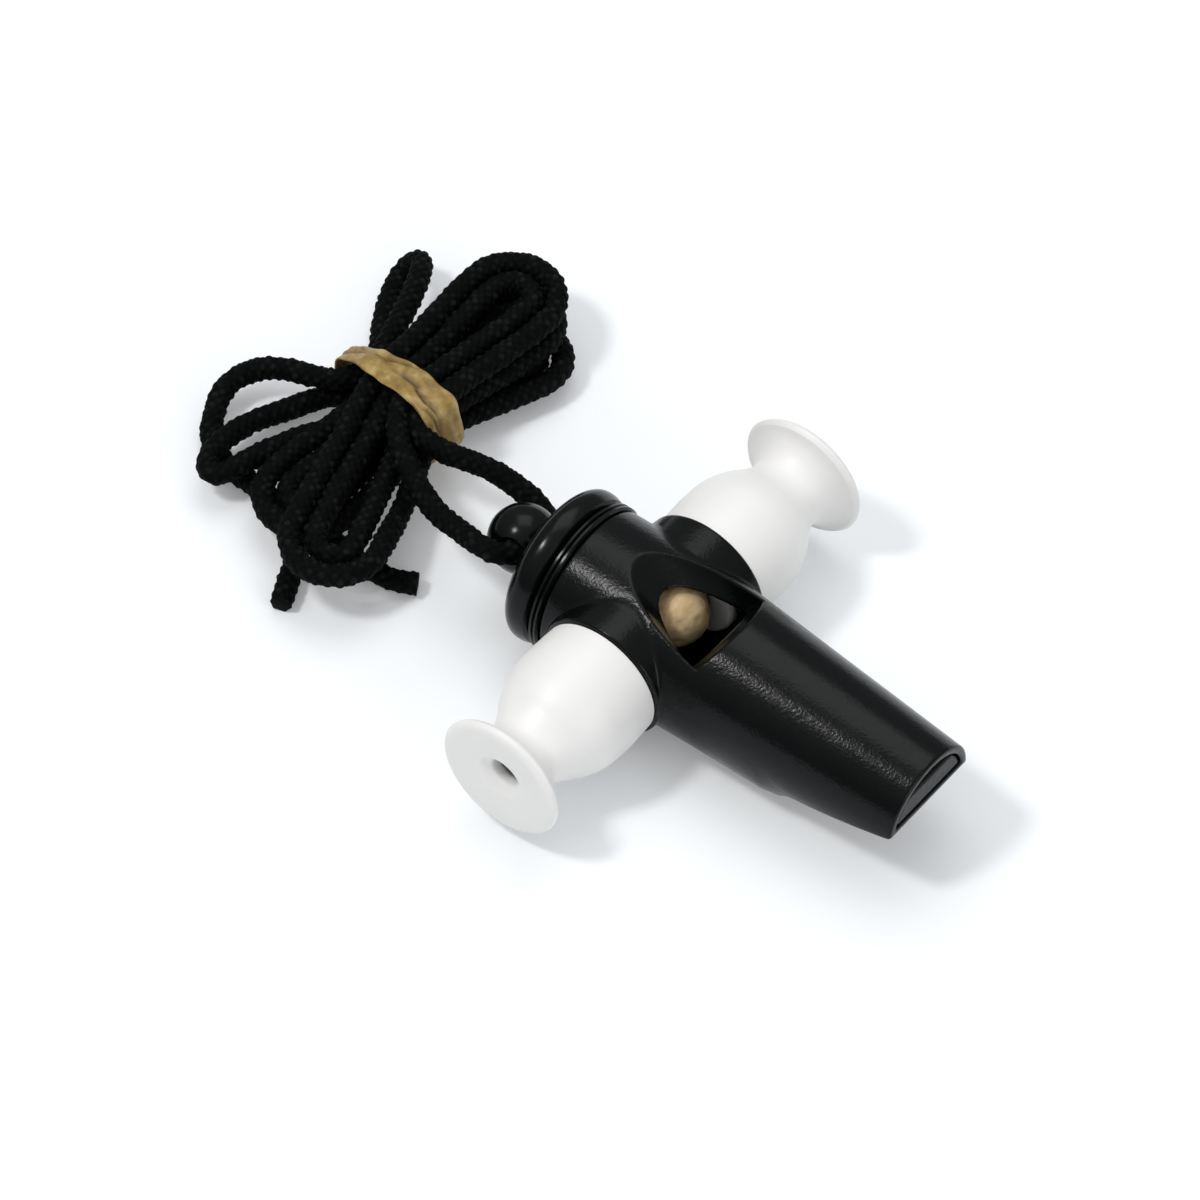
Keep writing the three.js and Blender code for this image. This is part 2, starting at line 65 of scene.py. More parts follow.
NECK_Y, NECK_R = 28.2, 5.65
DISC_R, DISC_RIM_Y, DISC_RIM_HALF, DISC_DISH = 9.55, 33.1, 1.0, 0.6
TUBE_BORE_R, TUBE_BORE_END_Y = 3.6, 30.8
FINGER_HOLE_R, FINGER_SINK_R = 2.2, 3.4
KNOB_R, KNOB_X, KNOB_NECK_R = 5.0, -22.6, 4.2
CORD_HOLE_X, CORD_HOLE_R = -21.6, 1.8
CAP_ROLL = math.radians(-25.0)
FLANGE_R, FLANGE_REAR_X, FLANGE_WIDE_X, FLANGE_FRONT_X = 11.7, -18.6, -15.4, -13.4
GROOVE_R, GROOVE_W = 10.1, 0.5
RING_R, RING_NOTCH = 11.45, 0.35
FIT_GAP, SEAT_GAP = 0.3, 0.1

# From those axes to the frame of the finished part
SHIFT = np.array((-9.4, 0.0, 11.7))

# Cord and hank sizes in mm, in the frame of the finished part. The leans are in degrees
CORD_D, CORD_STEP = 2.9, 0.2
STRAND_PITCH, LAYER_STEP, LAYERS_ABOVE = 3.45, 3.5, 2.5
BAND_W, BAND_T, BAND_PLACE, FLOOR_GAP = 4.2, 0.9, -1.0, 0.1
WAIST = np.array((-60.9, 11.5))
HANK_TURN = math.radians(-8.0)
UP_REACH, UP_SHORTER, UP_BEND_R = 27.5, 1.4, 6.5
DOWN_REACH, DOWN_SHORTER, DOWN_BEND_R = 33.8, 6.84, 6.27
UP_LEAN, DOWN_LEAN = (5.6, 1.8, -9.1), (24.6, 4.0, 11.7)
LEAN_SPAN, LEAN_CHANGES, FIRST_RUN_END = (-9.0, 11.0), ((0.9, 1.3), (1.9, 2.3)), 0.25
SAG, SAG_BEARING, SAG_REACH = 3.0, (27.0, 40.0), (9.0, 22.0)
FIRST_LIFT, FIRST_SPAN = 0.5, (-0.02, 0.14)
HANK_START, OUTER_END, INNER_END = -0.012, 2.535, 2.6
TURN_STEP, STEPS_PER_TURN, END_STEPS, CURVE_STEPS = 1e-3, 180, 5, 14
EYE_MOUTH, STRAY_GAP, JOIN_GAP, WAIST_GAP = 4.8, 0.4, 0.35, 0.15
ROUTE_SOFTENING, ROUTE_LOW_Z, PATH_STRIDE = 30, 1.67, 4
WAIST_HALF = 1.5 * STRAND_PITCH
WAIST_Z = FLOOR_GAP + BAND_T + FIT_GAP + CORD_D / 2

# Camera at the photograph's angle
AZIMUTH, ELEVATION, ROLL = (math.radians(a) for a in (34.8, 52.9, 4.0))
DISTANCE = 1.25
SENSOR_WIDTH, LENS = 36.0, 277.5
LENS_SHIFT_X, LENS_SHIFT_Y = -0.0454, 0.01975
CLIP_START, CLIP_END = 0.05, 50.0
camera_data = bpy.data.cameras.new("camera")
camera = bpy.data.objects.new("camera", camera_data)
bpy.context.scene.collection.objects.link(camera)
right = Vector((math.cos(AZIMUTH), math.sin(AZIMUTH), 0))
away = Vector((-math.sin(AZIMUTH), math.cos(AZIMUTH), 0))
level_up = away * math.sin(ELEVATION) + Vector((0, 0, math.cos(ELEVATION)))
toward = right.cross(level_up)
side = right * math.cos(ROLL) + level_up * math.sin(ROLL)
upward = level_up * math.cos(ROLL) - right * math.sin(ROLL)
pose = Matrix((side, upward, toward)).transposed().to_4x4()
pose.translation = Vector(SHIFT * MM) + toward * DISTANCE
camera.matrix_world = pose
camera_data.sensor_width = SENSOR_WIDTH
camera_data.lens = LENS
camera_data.shift_x = LENS_SHIFT_X
camera_data.shift_y = LENS_SHIFT_Y
camera_data.clip_start = CLIP_START
camera_data.clip_end = CLIP_END
bpy.context.scene.camera = camera

# Mesh helpers. Points come in mm, and points closer than SLIVER, in m, are joined
SLIVER = 0.000004


def face_outward(mesh):
    shape = bmesh.new()
    shape.from_mesh(mesh)
    bmesh.ops.recalc_face_normals(shape, faces=shape.faces)
    if shape.calc_volume(signed=True) < 0:
        bmesh.ops.reverse_faces(shape, faces=shape.faces)
    shape.to_mesh(mesh)
    shape.free()


def without_slivers(mesh):
    shape = bmesh.new()
    shape.from_mesh(mesh)
    bmesh.ops.remove_doubles(shape, verts=shape.verts, dist=SLIVER)
    bmesh.ops.triangulate(shape, faces=[f for f in shape.faces if len(f.verts) > 4])
    bmesh.ops.dissolve_degenerate(shape, edges=shape.edges, dist=SLIVER)
    shape.to_mesh(mesh)
    shape.free()


def make_mesh(name, points, faces, normals=None):
    mesh = bpy.data.meshes.new(name)
    mesh.from_pydata((np.asarray(points) * MM).tolist(), [], [list(map(int, f)) for f in faces])
    if normals is None:
        face_outward(mesh)
    mesh.polygons.foreach_set("use_smooth", [True] * len(mesh.polygons))
    if normals is not None:
        mesh.normals_split_custom_set_from_vertices(normals.tolist())
    mesh.update()
    piece = bpy.data.objects.new(name, mesh)
    bpy.context.scene.collection.objects.link(piece)
    return piece


def store(piece, name, values):
    layer = piece.data.attributes.new(name, "FLOAT", "POINT")
    layer.data.foreach_set("value", np.asarray(values, np.float32))


def grid_faces(rows, columns, close_rows=False):
    i = np.arange(rows if close_rows else rows - 1)
    i, k = (a.ravel() for a in np.meshgrid(i, np.arange(columns), indexing="ij"))
    i2, k2 = (i + 1) % rows, (k + 1) % columns
    return np.stack((i * columns + k, i * columns + k2, i2 * columns + k2, i2 * columns + k), 1)


# A tube of rows whose two ends close on the two points that follow its own
def closed_tube_faces(rows, columns):
    faces = [tuple(f) for f in grid_faces(rows, columns)]
    first, last, end_row = rows * columns, rows * columns + 1, (rows - 1) * columns
    for k in range(columns):
        after = (k + 1) % columns
        faces.append((first, after, k))
        faces.append((last, end_row + k, end_row + after))
    return faces


def smoothstep(x, low, high):
    t = np.clip((x - low) / (high - low), 0.0, 1.0)
    return t * t * (3 - 2 * t)


# Cord route: the part's source has the same windings, here pressed a little closer together
def outline(turn):
    rounds = max(math.floor(turn), 0)
    upper = turn % 1.0 < 0.5
    reach = UP_REACH - UP_SHORTER * rounds if upper else DOWN_REACH - DOWN_SHORTER * rounds
    bend = UP_BEND_R if upper else DOWN_BEND_R
    run = reach - bend
    whole = 2 * run + math.pi * bend
    gone = turn % 0.5 * 2 * whole
    left = whole - gone
    y = min(gone, left)
    if y < run:
        x = WAIST_HALF + (bend - WAIST_HALF) * smoothstep(y, 0.0, run)
        spot = np.array((x if gone < left else -x, y))
    else:
        angle = (gone - run) / bend
        spot = np.array((bend * math.cos(angle), run + bend * math.sin(angle)))
    return spot if upper else -spot


def lean(turn, along):
    low = smoothstep(-along, *LEAN_SPAN)
    rounds = sum(smoothstep(turn, *span) for span in LEAN_CHANGES)
    up = np.interp(rounds, (0, 1, 2), UP_LEAN)
    down = up if turn < FIRST_RUN_END else np.interp(rounds, (0, 1, 2), DOWN_LEAN)
    return math.radians(up + (down - up) * low)


def sag(spot):
    if spot[1] >= 0:
        return 0.0
    bearing = math.degrees(math.atan2(spot[0], -spot[1]))
    return SAG * smoothstep(bearing, *SAG_BEARING) * smoothstep(math.hypot(*spot), *SAG_REACH)


def turned(spot, angle):
    c, s = math.cos(angle), math.sin(angle)
    return np.array((c * spot[0] - s * spot[1], s * spot[0] + c * spot[1]))


def hank_point(turn, inset):
    here = outline(turn)
    tangent = outline(turn + TURN_STEP) - outline(turn - TURN_STEP)
    tangent /= np.linalg.norm(tangent)
    here = here + inset * np.array((-tangent[1], tangent[0]))
    here = turned(here, lean(turn, here[1]) + HANK_TURN)
    first = 1.0 - smoothstep(turn, *FIRST_SPAN)
    height = WAIST_Z + LAYER_STEP * (LAYERS_ABOVE - turn) + FIRST_LIFT * first - sag(here)
    return np.array((here[0] + WAIST[0], here[1] + WAIST[1], height))


def hank_line(inset, end):
    steps = round((end - HANK_START) * STEPS_PER_TURN)
    turns = [HANK_START + (end - HANK_START) * i / steps for i in range(steps + 1)]
    return np.array([hank_point(turn, inset) for turn in turns])


def beyond(line, at_end, distance):
    tip, inward = (line[-1], line[-1 - END_STEPS]) if at_end else (line[0], line[END_STEPS])
    direction = tip - inward
    return tip + direction / np.linalg.norm(direction) * distance


def through(points):
    points = np.array(points, float)
    padded = np.vstack((2 * points[0] - points[1], points, 2 * points[-1] - points[-2]))
    line = []
    for i in range(len(points) - 1):
        p0, p1, p2, p3 = padded[i:i + 4]
        t0, t1, t2 = (np.linalg.norm(b - a) ** 0.5 for a, b in ((p0, p1), (p1, p2), (p2, p3)))
        m1 = ((p1 - p0) / t0 - (p2 - p0) / (t0 + t1) + (p2 - p1) / t1) * t1
        m2 = ((p2 - p1) / t1 - (p3 - p1) / (t1 + t2) + (p3 - p2) / t2) * t1
        for t in np.arange(CURVE_STEPS) / CURVE_STEPS:
            a, b = 2 * t ** 3 - 3 * t * t + 1, t ** 3 - 2 * t * t + t
            c, d = -2 * t ** 3 + 3 * t * t, t ** 3 - t * t
            line.append(a * p1 + b * m1 + c * p2 + d * m2)
    line.append(points[-1])
    return np.array(line)


def even(line, step):
    lengths = np.concatenate(((0.0,), np.cumsum(np.linalg.norm(np.diff(line, axis=0), axis=1))))
    count = int(round(lengths[-1] / step)) + 1
    at = np.linspace(0.0, lengths[-1], count)
    return np.stack([np.interp(at, lengths, line[:, k]) for k in range(3)], 1)


def softened(line, rounds):
    for _ in range(rounds):
        inner = line.copy()
        inner[1:-1] = 0.5 * line[1:-1] + 0.25 * (line[:-2] + line[2:])
        line = inner
    return line


def eye(distance):
    return np.array((CORD_HOLE_X, distance * math.cos(CAP_ROLL), distance * math.sin(CAP_ROLL))) + SHIFT


ALONG = turned((0.0, 1.0), HANK_TURN)
ACROSS = turned((1.0, 0.0), HANK_TURN)


def in_waist(q, p, z):
    spot = WAIST + q * ACROSS + p * ALONG
    return (spot[0], spot[1], z)


STRAY_Q = -(WAIST_HALF + STRAND_PITCH + STRAY_GAP)
UPPER_Z = WAIST_Z + LAYER_STEP
outer_line = hank_line(0.0, OUTER_END)
inner_line = hank_line(STRAND_PITCH, INNER_END)
lead_far = through([
    eye(0.2), eye(2.4), eye(EYE_MOUTH), (-32.3, 6.2, 9.2), (-35.0, 7.2, 9.6), (-39.2, 7.0, 10.8),
    (-43.9, 6.3, 11.7), (-48.1, 4.9, 12.0), (-51.6, 4.4, 12.1), (-54.3, 5.0, 12.1),
    beyond(outer_line, False, 2.5), beyond(outer_line, False, JOIN_GAP),
])
lead_near = through([
    eye(-0.2), eye(-2.4), eye(-EYE_MOUTH), (-32.2, -6.0, 14.3), (-35.0, -6.2, 14.2), (-38.6, -5.3, 13.0),
    (-42.4, -4.6, 12.2), (-46.6, -3.2, 12.0), (-50.6, -1.1, 12.0), (-54.4, 1.2, 12.1), (-57.5, 4.2, 12.1),
    beyond(inner_line, False, 1.9), beyond(inner_line, False, JOIN_GAP),
])
bight = through([
    beyond(outer_line, True, JOIN_GAP), beyond(outer_line, True, 1.8), (-68.6, 3.2, 2.7), (-70.3, -0.4, 3.3),
    (-71.7, -5.2, 4.2), (-72.8, -10.0, 5.0), (-73.3, -12.4, 5.2), (-74.2, -14.2, 5.2), (-75.7, -14.5, 5.2),
    (-76.9, -13.2, 5.2), (-77.6, -10.2, 5.0), (-77.5, -6.6, 4.5), (-76.9, -2.6, 3.7), (-75.3, 2.2, 2.7),
    (-73.0, 7.0, 2.6), in_waist(STRAY_Q, -2.4, WAIST_Z), in_waist(STRAY_Q, -1.2, WAIST_Z),
    in_waist(STRAY_Q, -WAIST_GAP, WAIST_Z),
])
ear = through([
    in_waist(STRAY_Q, WAIST_GAP, WAIST_Z), in_waist(STRAY_Q, 2.0, WAIST_Z), (-71.1, 17.1, 2.4),
    (-73.9, 21.2, 1.8), (-76.3, 25.1, 1.6), (-78.0, 29.0, 1.8), (-78.4, 31.9, 2.9), (-77.3, 33.3, 4.5),
    (-75.6, 32.3, 5.9),
    (-73.9, 29.3, 6.6), (-72.4, 25.5, 6.8), (-71.1, 21.2, 6.7), (-70.2, 17.5, 6.4),
    in_waist(STRAY_Q, 2.0, UPPER_Z), in_waist(STRAY_Q, WAIST_GAP, UPPER_Z),
])
arch = through([
    in_waist(STRAY_Q, -WAIST_GAP, UPPER_Z), in_waist(STRAY_Q, -1.9, UPPER_Z), (-71.9, 8.3, 6.3),
    (-75.2, 6.9, 6.0),
    (-79.2, 5.7, 5.4), (-82.3, 3.1, 4.8), (-83.7, -0.7, 4.0), (-82.4, -5.1, 2.8), (-80.1, -8.2, 1.7),
    (-76.4, -9.9, 1.5), (-71.6, -10.2, 1.5), (-65.8, -11.1, 1.5), (-61.2, -13.2, 1.5), (-58.3, -16.8, 1.5),
    (-56.2, -21.2, 1.5), (-55.0, -23.8, 1.5),
])
tail = through([
    beyond(inner_line, True, JOIN_GAP), beyond(inner_line, True, 1.6), (-61.4, -8.8, 1.6), (-57.0, -10.6, 1.5),
    (-52.0, -11.3, 1.5), (-47.2, -11.1, 1.5), (-45.0, -10.4, 1.5), (-42.8, -9.2, 1.5),
])
far_route, near_route = (
    softened(even(np.vstack(stretches), CORD_STEP), ROUTE_SOFTENING)
    for stretches in ((lead_far, outer_line, bight, ear, arch), (lead_near, inner_line, tail)))
for route in (far_route, near_route):
    route[:, 2] = np.maximum(route[:, 2], ROUTE_LOW_Z)

# Round braided cord: two families of strands wind both ways and pass over and under each other
BRAID_STRANDS, BRAID_PITCH = 6, 9.0
BRAID_BASE_R, BRAID_RELIEF, BRAID_CROWN = 1.3, 0.44, 0.55
LEAST_RELIEF, RELIEF_SPREAD = 0.7, 0.4
LOOSE_SPREAD, LOOSE_SOFTENING, LOOSE_LIMITS = 0.2, 40, (-0.1, 0.03)
CHANCE_PLACE, CHANCE_ROW, CHANCE_STRETCH = 12.99, 78.23, 437.58
CORD_SIDES = 40
FLOOR_CLEAR = 0.02


def braid_height(around, along):
    first = BRAID_STRANDS * around / (2 * math.pi) + BRAID_STRANDS * along / BRAID_PITCH
    second = BRAID_STRANDS * around / (2 * math.pi) - BRAID_STRANDS * along / BRAID_PITCH
    row, column = np.floor(first), np.floor(second)
    u, v = first - row, second - column
    over = (row + column) % 2 < 0.5
    across = np.where(over, u, v)
    length = np.where(over, v, u)
    ridge = np.sqrt(np.clip(1 - (2 * across - 1) ** 2, 0, 1))
    crown = 1 - BRAID_CROWN * (2 * length - 1) ** 2
    chance = np.sin((row - column) * CHANCE_PLACE + (row % BRAID_STRANDS) * CHANCE_ROW) * CHANCE_STRETCH
    return ridge * crown, chance - np.floor(chance)


def frames_along(line):
    tangents = np.gradient(line, axis=0)
    tangents /= np.linalg.norm(tangents, axis=1)[:, None]
    normals = np.empty_like(line)
    normal = np.array((0.0, 0.0, 1.0))
    for i, tangent in enumerate(tangents):
        normal = normal - tangent * normal.dot(tangent)
        normal /= np.linalg.norm(normal)
        normals[i] = normal
    return normals, np.cross(tangents, normals)


def braided(name, route):
    count = len(route)
    normals, binormals = frames_along(route)
    around = np.linspace(0.0, 2 * math.pi, CORD_SIDES, endpoint=False)
    along = np.arange(count) * CORD_STEP
    height, chance = braid_height(around[None, :], along[:, None])
    rng = np.random.default_rng(len(name))
    loose = np.clip(softened(rng.normal(0.0, LOOSE_SPREAD, (count, 1)), LOOSE_SOFTENING), *LOOSE_LIMITS)
    radius = BRAID_BASE_R + loose + BRAID_RELIEF * height * (LEAST_RELIEF + RELIEF_SPREAD * chance)
    spokes = (np.cos(around)[None, :, None] * normals[:, None, :]
              + np.sin(around)[None, :, None] * binormals[:, None, :])
    points = (route[:, None, :] + radius[..., None] * spokes).reshape(-1, 3)
    points[:, 2] = np.maximum(points[:, 2], FLOOR_CLEAR)
    piece = make_mesh(name, np.vstack((points, route[0], route[-1])), closed_tube_faces(count, CORD_SIDES))
    # Painted highlight and shade: the crowns of the braid are stored to be coloured lighter, and the valleys
    # between them darker
    store(piece, "crown_painted_highlight", np.append((height * chance).ravel(), (0.0, 0.0)))
    return piece


cord_far = braided("cord_far", far_route)
cord_near = braided("cord_near", near_route)
for piece, route, sign, stands_for in (
    (cord_far, far_route, 1, ("cord_lead_far", "cord_hank_outer", "cord_bight", "cord_ear", "cord_arch")),
    (cord_near, near_route, -1, ("cord_lead_near", "cord_hank_inner", "cord_tail")),
):
    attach(piece, "whistle")
    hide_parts(*stands_for)

# Rubber band: one band doubled round the waist, its two runs side by side with a fold between them
BAND_SHIFT, BAND_WIDENING = 0.5, 0.6
BAND_MID, BAND_HALF = BAND_PLACE - BAND_SHIFT, BAND_W / 2 + BAND_WIDENING
BAND_SKIN, BAND_RISE = 0.45, 0.42
BAND_FLATNESS, BAND_BULGE, TOP_SPREAD = 0.75, 0.7, 0.5
BAND_STEPS, BAND_SIDES, HULL_SIDES = 220, 64, 48
CATCH_RADIUS, CATCH_MARGIN = 14.0, 0.3
LEFT_SPAN, LEFT_NARROWING, LEFT_WANDER = (4.0, 10.0), 0.35, 0.5

# Waves round the band: depth, times round and phase
WIDTH_WAVES = ((0.16, 2, 0.7), (0.1, 7, 0.0), (0.07, 13, 1.0))
WANDER_WAVES = ((0.2, 1, 1.1), (0.12, 3, 0.0))

# Ripples on its outer face: depth, waves over the width and over the length, and phase
RIPPLES = ((0.07, 4.2, 1.3, 0.0), (0.05, 2.3, -2.1, 1.0))
SWELL, SWELL_TURN, SWELL_PHASE, SWELL_SLOPE = 0.2, 0.5, 0.4, 2.5

# The gap between the two runs, with the stretches where it opens and closes
SLIT_MIDDLE, SLIT_SLOPE, SLIT_AT, SLIT_WAVE, SLIT_TURN = -0.35, -0.12, 3.0, 0.25, 0.9
SLIT_LEAST, SLIT_MORE, SLIT_WIDTH = 0.25, 0.6, 0.32
SLIT_OPENS, SLIT_CLOSES = (-1.5, 1.5), (9.5, 5.5)

# A fold at each end: depth, half width, middle, slope, place of the middle, and where it deepens
SIDE_FOLDS = ((0.45, 0.3, 1.2, 0.22, -4.0, (2.0, -1.0)), (0.5, 0.26, -1.5, 0.3, 8.0, (5.0, 7.5)))
# How strongly the slit and the folds are darkened: painted shade in the creases
FOLD_PAINTED_SHADE = 1.6


def waist_spots():
    found = []
    for route in (far_route, near_route):
        spots = route[:, :2] - WAIST
        under_band = np.abs(spots @ ALONG - BAND_MID) < BAND_HALF + CATCH_MARGIN
        held = under_band & (np.linalg.norm(spots, axis=1) < CATCH_RADIUS)
        found.append(np.stack((spots[held] @ ACROSS, route[held, 2]), 1))
    return np.vstack(found)


def hull_round(spots, radius):
    ring = np.linspace(0.0, 2 * math.pi, HULL_SIDES, endpoint=False)
    rim = radius * np.stack((np.cos(ring), np.sin(ring)), 1)
    cloud = (spots[:, None, :] + rim).reshape(-1, 2)
    cloud = cloud[np.lexsort((cloud[:, 1], cloud[:, 0]))]

    def chain(points):
        kept = []
        for p in points:
            while len(kept) > 1:
                a, b = kept[-1] - kept[-2], p - kept[-2]
                if a[0] * b[1] - a[1] * b[0] > 1e-9:
                    break
                kept.pop()
            kept.append(p)
        return kept[:-1]

    return np.array(chain(cloud) + chain(cloud[::-1]))


def waves(turn, parts):
    return sum(depth * np.sin(times * turn + phase) for depth, times, phase in parts)


def crease(axial, middle, half_width):
    return np.exp(-((axial - middle[:, None]) / half_width) ** 2)


def band_folds(axial, q, slit):
    open_slit = SLIT_LEAST + SLIT_MORE * smoothstep(q, *SLIT_OPENS) * smoothstep(q, *SLIT_CLOSES)
    fold = open_slit[:, None] * crease(axial, slit, SLIT_WIDTH)
    for depth, half_width, middle, slope, at, deepens in SIDE_FOLDS:
        side_fold = depth * crease(axial, middle + slope * (q - at), half_width)
        fold = np.maximum(fold, side_fold * smoothstep(q, *deepens)[:, None])
    return fold


def band_mesh(name):
    loop = hull_round(waist_spots(), CORD_D / 2 + FIT_GAP + BAND_SKIN)
    closed = np.vstack((loop, loop[:1]))
    lengths = np.concatenate(((0.0,), np.cumsum(np.linalg.norm(np.diff(closed, axis=0), axis=1))))
    at = np.linspace(0.0, lengths[-1], BAND_STEPS, endpoint=False)
    ring = np.stack([np.interp(at, lengths, closed[:, k]) for k in range(2)], 1)
    ahead = np.roll(ring, -2, 0) - np.roll(ring, 2, 0)
    ahead /= np.linalg.norm(ahead, axis=1)[:, None]
    outward = np.stack((ahead[:, 1], -ahead[:, 0]), 1)
    phi = np.linspace(0.0, 2 * math.pi, BAND_SIDES, endpoint=False)
    turn = 2 * math.pi * np.arange(BAND_STEPS) / BAND_STEPS
    q = ring[:, 0]
    at_left = smoothstep(-q, *LEFT_SPAN)
    width = (BAND_HALF + waves(turn, WIDTH_WAVES)) * (1 - LEFT_NARROWING * at_left)
    wander = waves(turn, WANDER_WAVES) + LEFT_WANDER * at_left
    axial = width[:, None] * np.sign(np.cos(phi)) * np.abs(np.cos(phi)) ** BAND_FLATNESS
    rise = BAND_RISE * np.sign(np.sin(phi)) * np.abs(np.sin(phi)) ** BAND_BULGE
    top = np.clip(np.sin(phi), 0, 1) ** TOP_SPREAD
    slit = SLIT_MIDDLE + SLIT_SLOPE * (q - SLIT_AT) + SLIT_WAVE * np.sin(q * SLIT_TURN)
    fold = band_folds(axial, q, slit)
    ripple = sum(depth * np.sin(over * axial + round_it * q[:, None] + phase)
                 for depth, over, round_it, phase in RIPPLES)
    swell = SWELL * np.cos(SWELL_TURN * q + SWELL_PHASE)[:, None]
    swell = swell * np.tanh(SWELL_SLOPE * (axial - slit[:, None]))
    radial = rise[None, :] + top * (ripple + swell - fold)
    flat = ring[:, None, :] + radial[..., None] * outward[:, None, :]
    axial = axial + wander[:, None]
    ground = WAIST + flat[..., :1] * ACROSS + (axial[..., None] + BAND_MID) * ALONG
    points = np.concatenate((ground, flat[..., 1:]), 2).reshape(-1, 3)
    points[:, 2] = np.maximum(points[:, 2], FLOOR_CLEAR)
    piece = make_mesh(name, points, grid_faces(BAND_STEPS, BAND_SIDES, close_rows=True))
    # The fold attribute carries painted shade: the rubber is coloured dark brown in the slit and the folds
    store(piece, "fold", np.clip(fold * top * FOLD_PAINTED_SHADE, 0, 1).ravel())
    return piece


band = band_mesh("band")
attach(band, "whistle")
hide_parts("rubber_band")

# Moulded pieces from a distance function, so that every edge has its small radius
TIP_EDGE, REAR_EDGE, BOSS_EDGE, BELLY_EDGE = 0.5, 0.6, 0.5, 0.3
SHOULDER_EDGE, CUT_EDGE, OPENING_EDGE, BLOCK_EDGE = 1.0, 0.45, 0.4, 0.3
CROWN_REACH, CROWN_REAR_DROP, CROWN_FRONT_DROP, TIP_DROP = 3.0, 0.03, 0.12, 0.05
BODY_BOX, BODY_CELL = ((-11.9, -12.3, -12.1), (47.0, 12.3, 12.1)), 0.26
BLOCK_BOX, BLOCK_CELL = ((11.0, -9.0, -9.0), (46.8, 9.0, 7.4)), 0.34
SLOPE_STEP, LEAST_SLOPE, SETTLE_ROUNDS = 0.01, 0.25, 4


def smooth_max(a, b, radius):
    h = np.clip(radius - np.abs(a - b), 0, None) / radius
    return np.maximum(a, b) + h * h * radius / 4


def smooth_min(a, b, radius):
    return -smooth_max(-a, -b, radius)


def above_beak(p, lift):
    return -(p[0] - BEAK_X) * math.sin(BEAK_ANGLE) + (p[2] - BEAK_Z) * math.cos(BEAK_ANGLE) - lift


def body_distance(p):
    x, y, z = p
    rho = np.hypot(y, z)
    outer_r = np.interp(
        x, (BODY_REAR_X, BODY_WIDE_X - CROWN_REACH, BODY_WIDE_X, BODY_WIDE_X + CROWN_REACH, BODY_TIP_X),
        (BODY_REAR_R, BODY_WIDE_R - CROWN_REAR_DROP, BODY_WIDE_R, BODY_WIDE_R - CROWN_FRONT_DROP,
         BODY_TIP_R - TIP_DROP))
    shell = smooth_max(smooth_max(rho - outer_r, x - BODY_TIP_X, TIP_EDGE), BODY_REAR_X - x, REAR_EDGE)
    boss = smooth_max(np.hypot(x, z) - BOSS_R, np.abs(y) - BOSS_Y, BOSS_EDGE)
    solid = smooth_min(shell, boss, BOSS_EDGE)
    run, span = x - BODY_WIDE_X, BELLY_END_X - BODY_WIDE_X
    belly_r = np.interp(run, (0.0, span, span + BELLY_TAPER),
                        (BODY_WIDE_R - BELLY_INSET, BELLY_END_R, BELLY_TAPER_R))
    belly = np.hypot(y, z + BELLY_DROP * run / span) - belly_r
    half = (span + BELLY_TAPER) / 2
    solid = smooth_min(solid, np.maximum(belly, np.abs(run - half) - half), BELLY_EDGE)
    belly_low, past_belly = z + BELLY_END_R + BELLY_DROP, x - BELLY_END_X
    past_shoulder = belly_low * math.cos(SHOULDER_ANGLE) - past_belly * math.sin(SHOULDER_ANGLE)
    solid = smooth_max(solid, -smooth_max(above_beak(p, 0.0), past_shoulder, SHOULDER_EDGE), CUT_EDGE)
    bore_r = np.interp(x, (BODY_REAR_X, CHAMBER_END_X, BODY_TIP_X), (CHAMBER_R, CHAMBER_R, TIP_BORE_R))
    bore = smooth_max(rho - bore_r, -above_beak(p, BEAK_FLOOR), OPENING_EDGE)
    solid = smooth_max(solid, -bore, CUT_EDGE)
    solid = smooth_max(solid, SOCKET_R - np.hypot(x, z), OPENING_EDGE)
    dx, dz = x - WINDOW_APEX_X, z - BODY_WIDE_R
    along = dx * math.cos(WINDOW_ANGLE) - dz * math.sin(WINDOW_ANGLE)
    lift = dx * math.sin(WINDOW_ANGLE) + dz * math.cos(WINDOW_ANGLE)
    window = np.maximum(np.hypot(y, lift - WINDOW_R) - WINDOW_R, along - WINDOW_LENGTH)
    return smooth_max(solid, -window, OPENING_EDGE)


def block_distance(p):
    x, y, z = p
    radius = np.interp(x, (BLOCK_FRONT_X, CHAMBER_END_X, BODY_TIP_X),
                       (CHAMBER_R - FIT_GAP, CHAMBER_R - FIT_GAP, TIP_BORE_R - FIT_GAP))
    solid = smooth_max(np.hypot(y, z) - radius, x - (BODY_TIP_X - BLOCK_RECESS), BLOCK_EDGE)
    solid = smooth_max(solid, BLOCK_FRONT_X - x, BLOCK_EDGE)
    slope = math.atan2(WINDWAY_TIP_Z - WINDWAY_FRONT_Z, BODY_TIP_X - BLOCK_FRONT_X)
    roof = (z - WINDWAY_FRONT_Z) * math.cos(slope) - (x - BLOCK_FRONT_X) * math.sin(slope)
    solid = smooth_max(solid, roof, BLOCK_EDGE)
    return smooth_max(solid, -above_beak(p, BEAK_FLOOR + FIT_GAP), BLOCK_EDGE)


def gradient_of(distance, p):
    rows = []
    for k in range(3):
        ahead, behind = p.copy(), p.copy()
        ahead[k] += SLOPE_STEP
        behind[k] -= SLOPE_STEP
        rows.append((distance(ahead) - distance(behind)) / (2 * SLOPE_STEP))
    return np.array(rows)


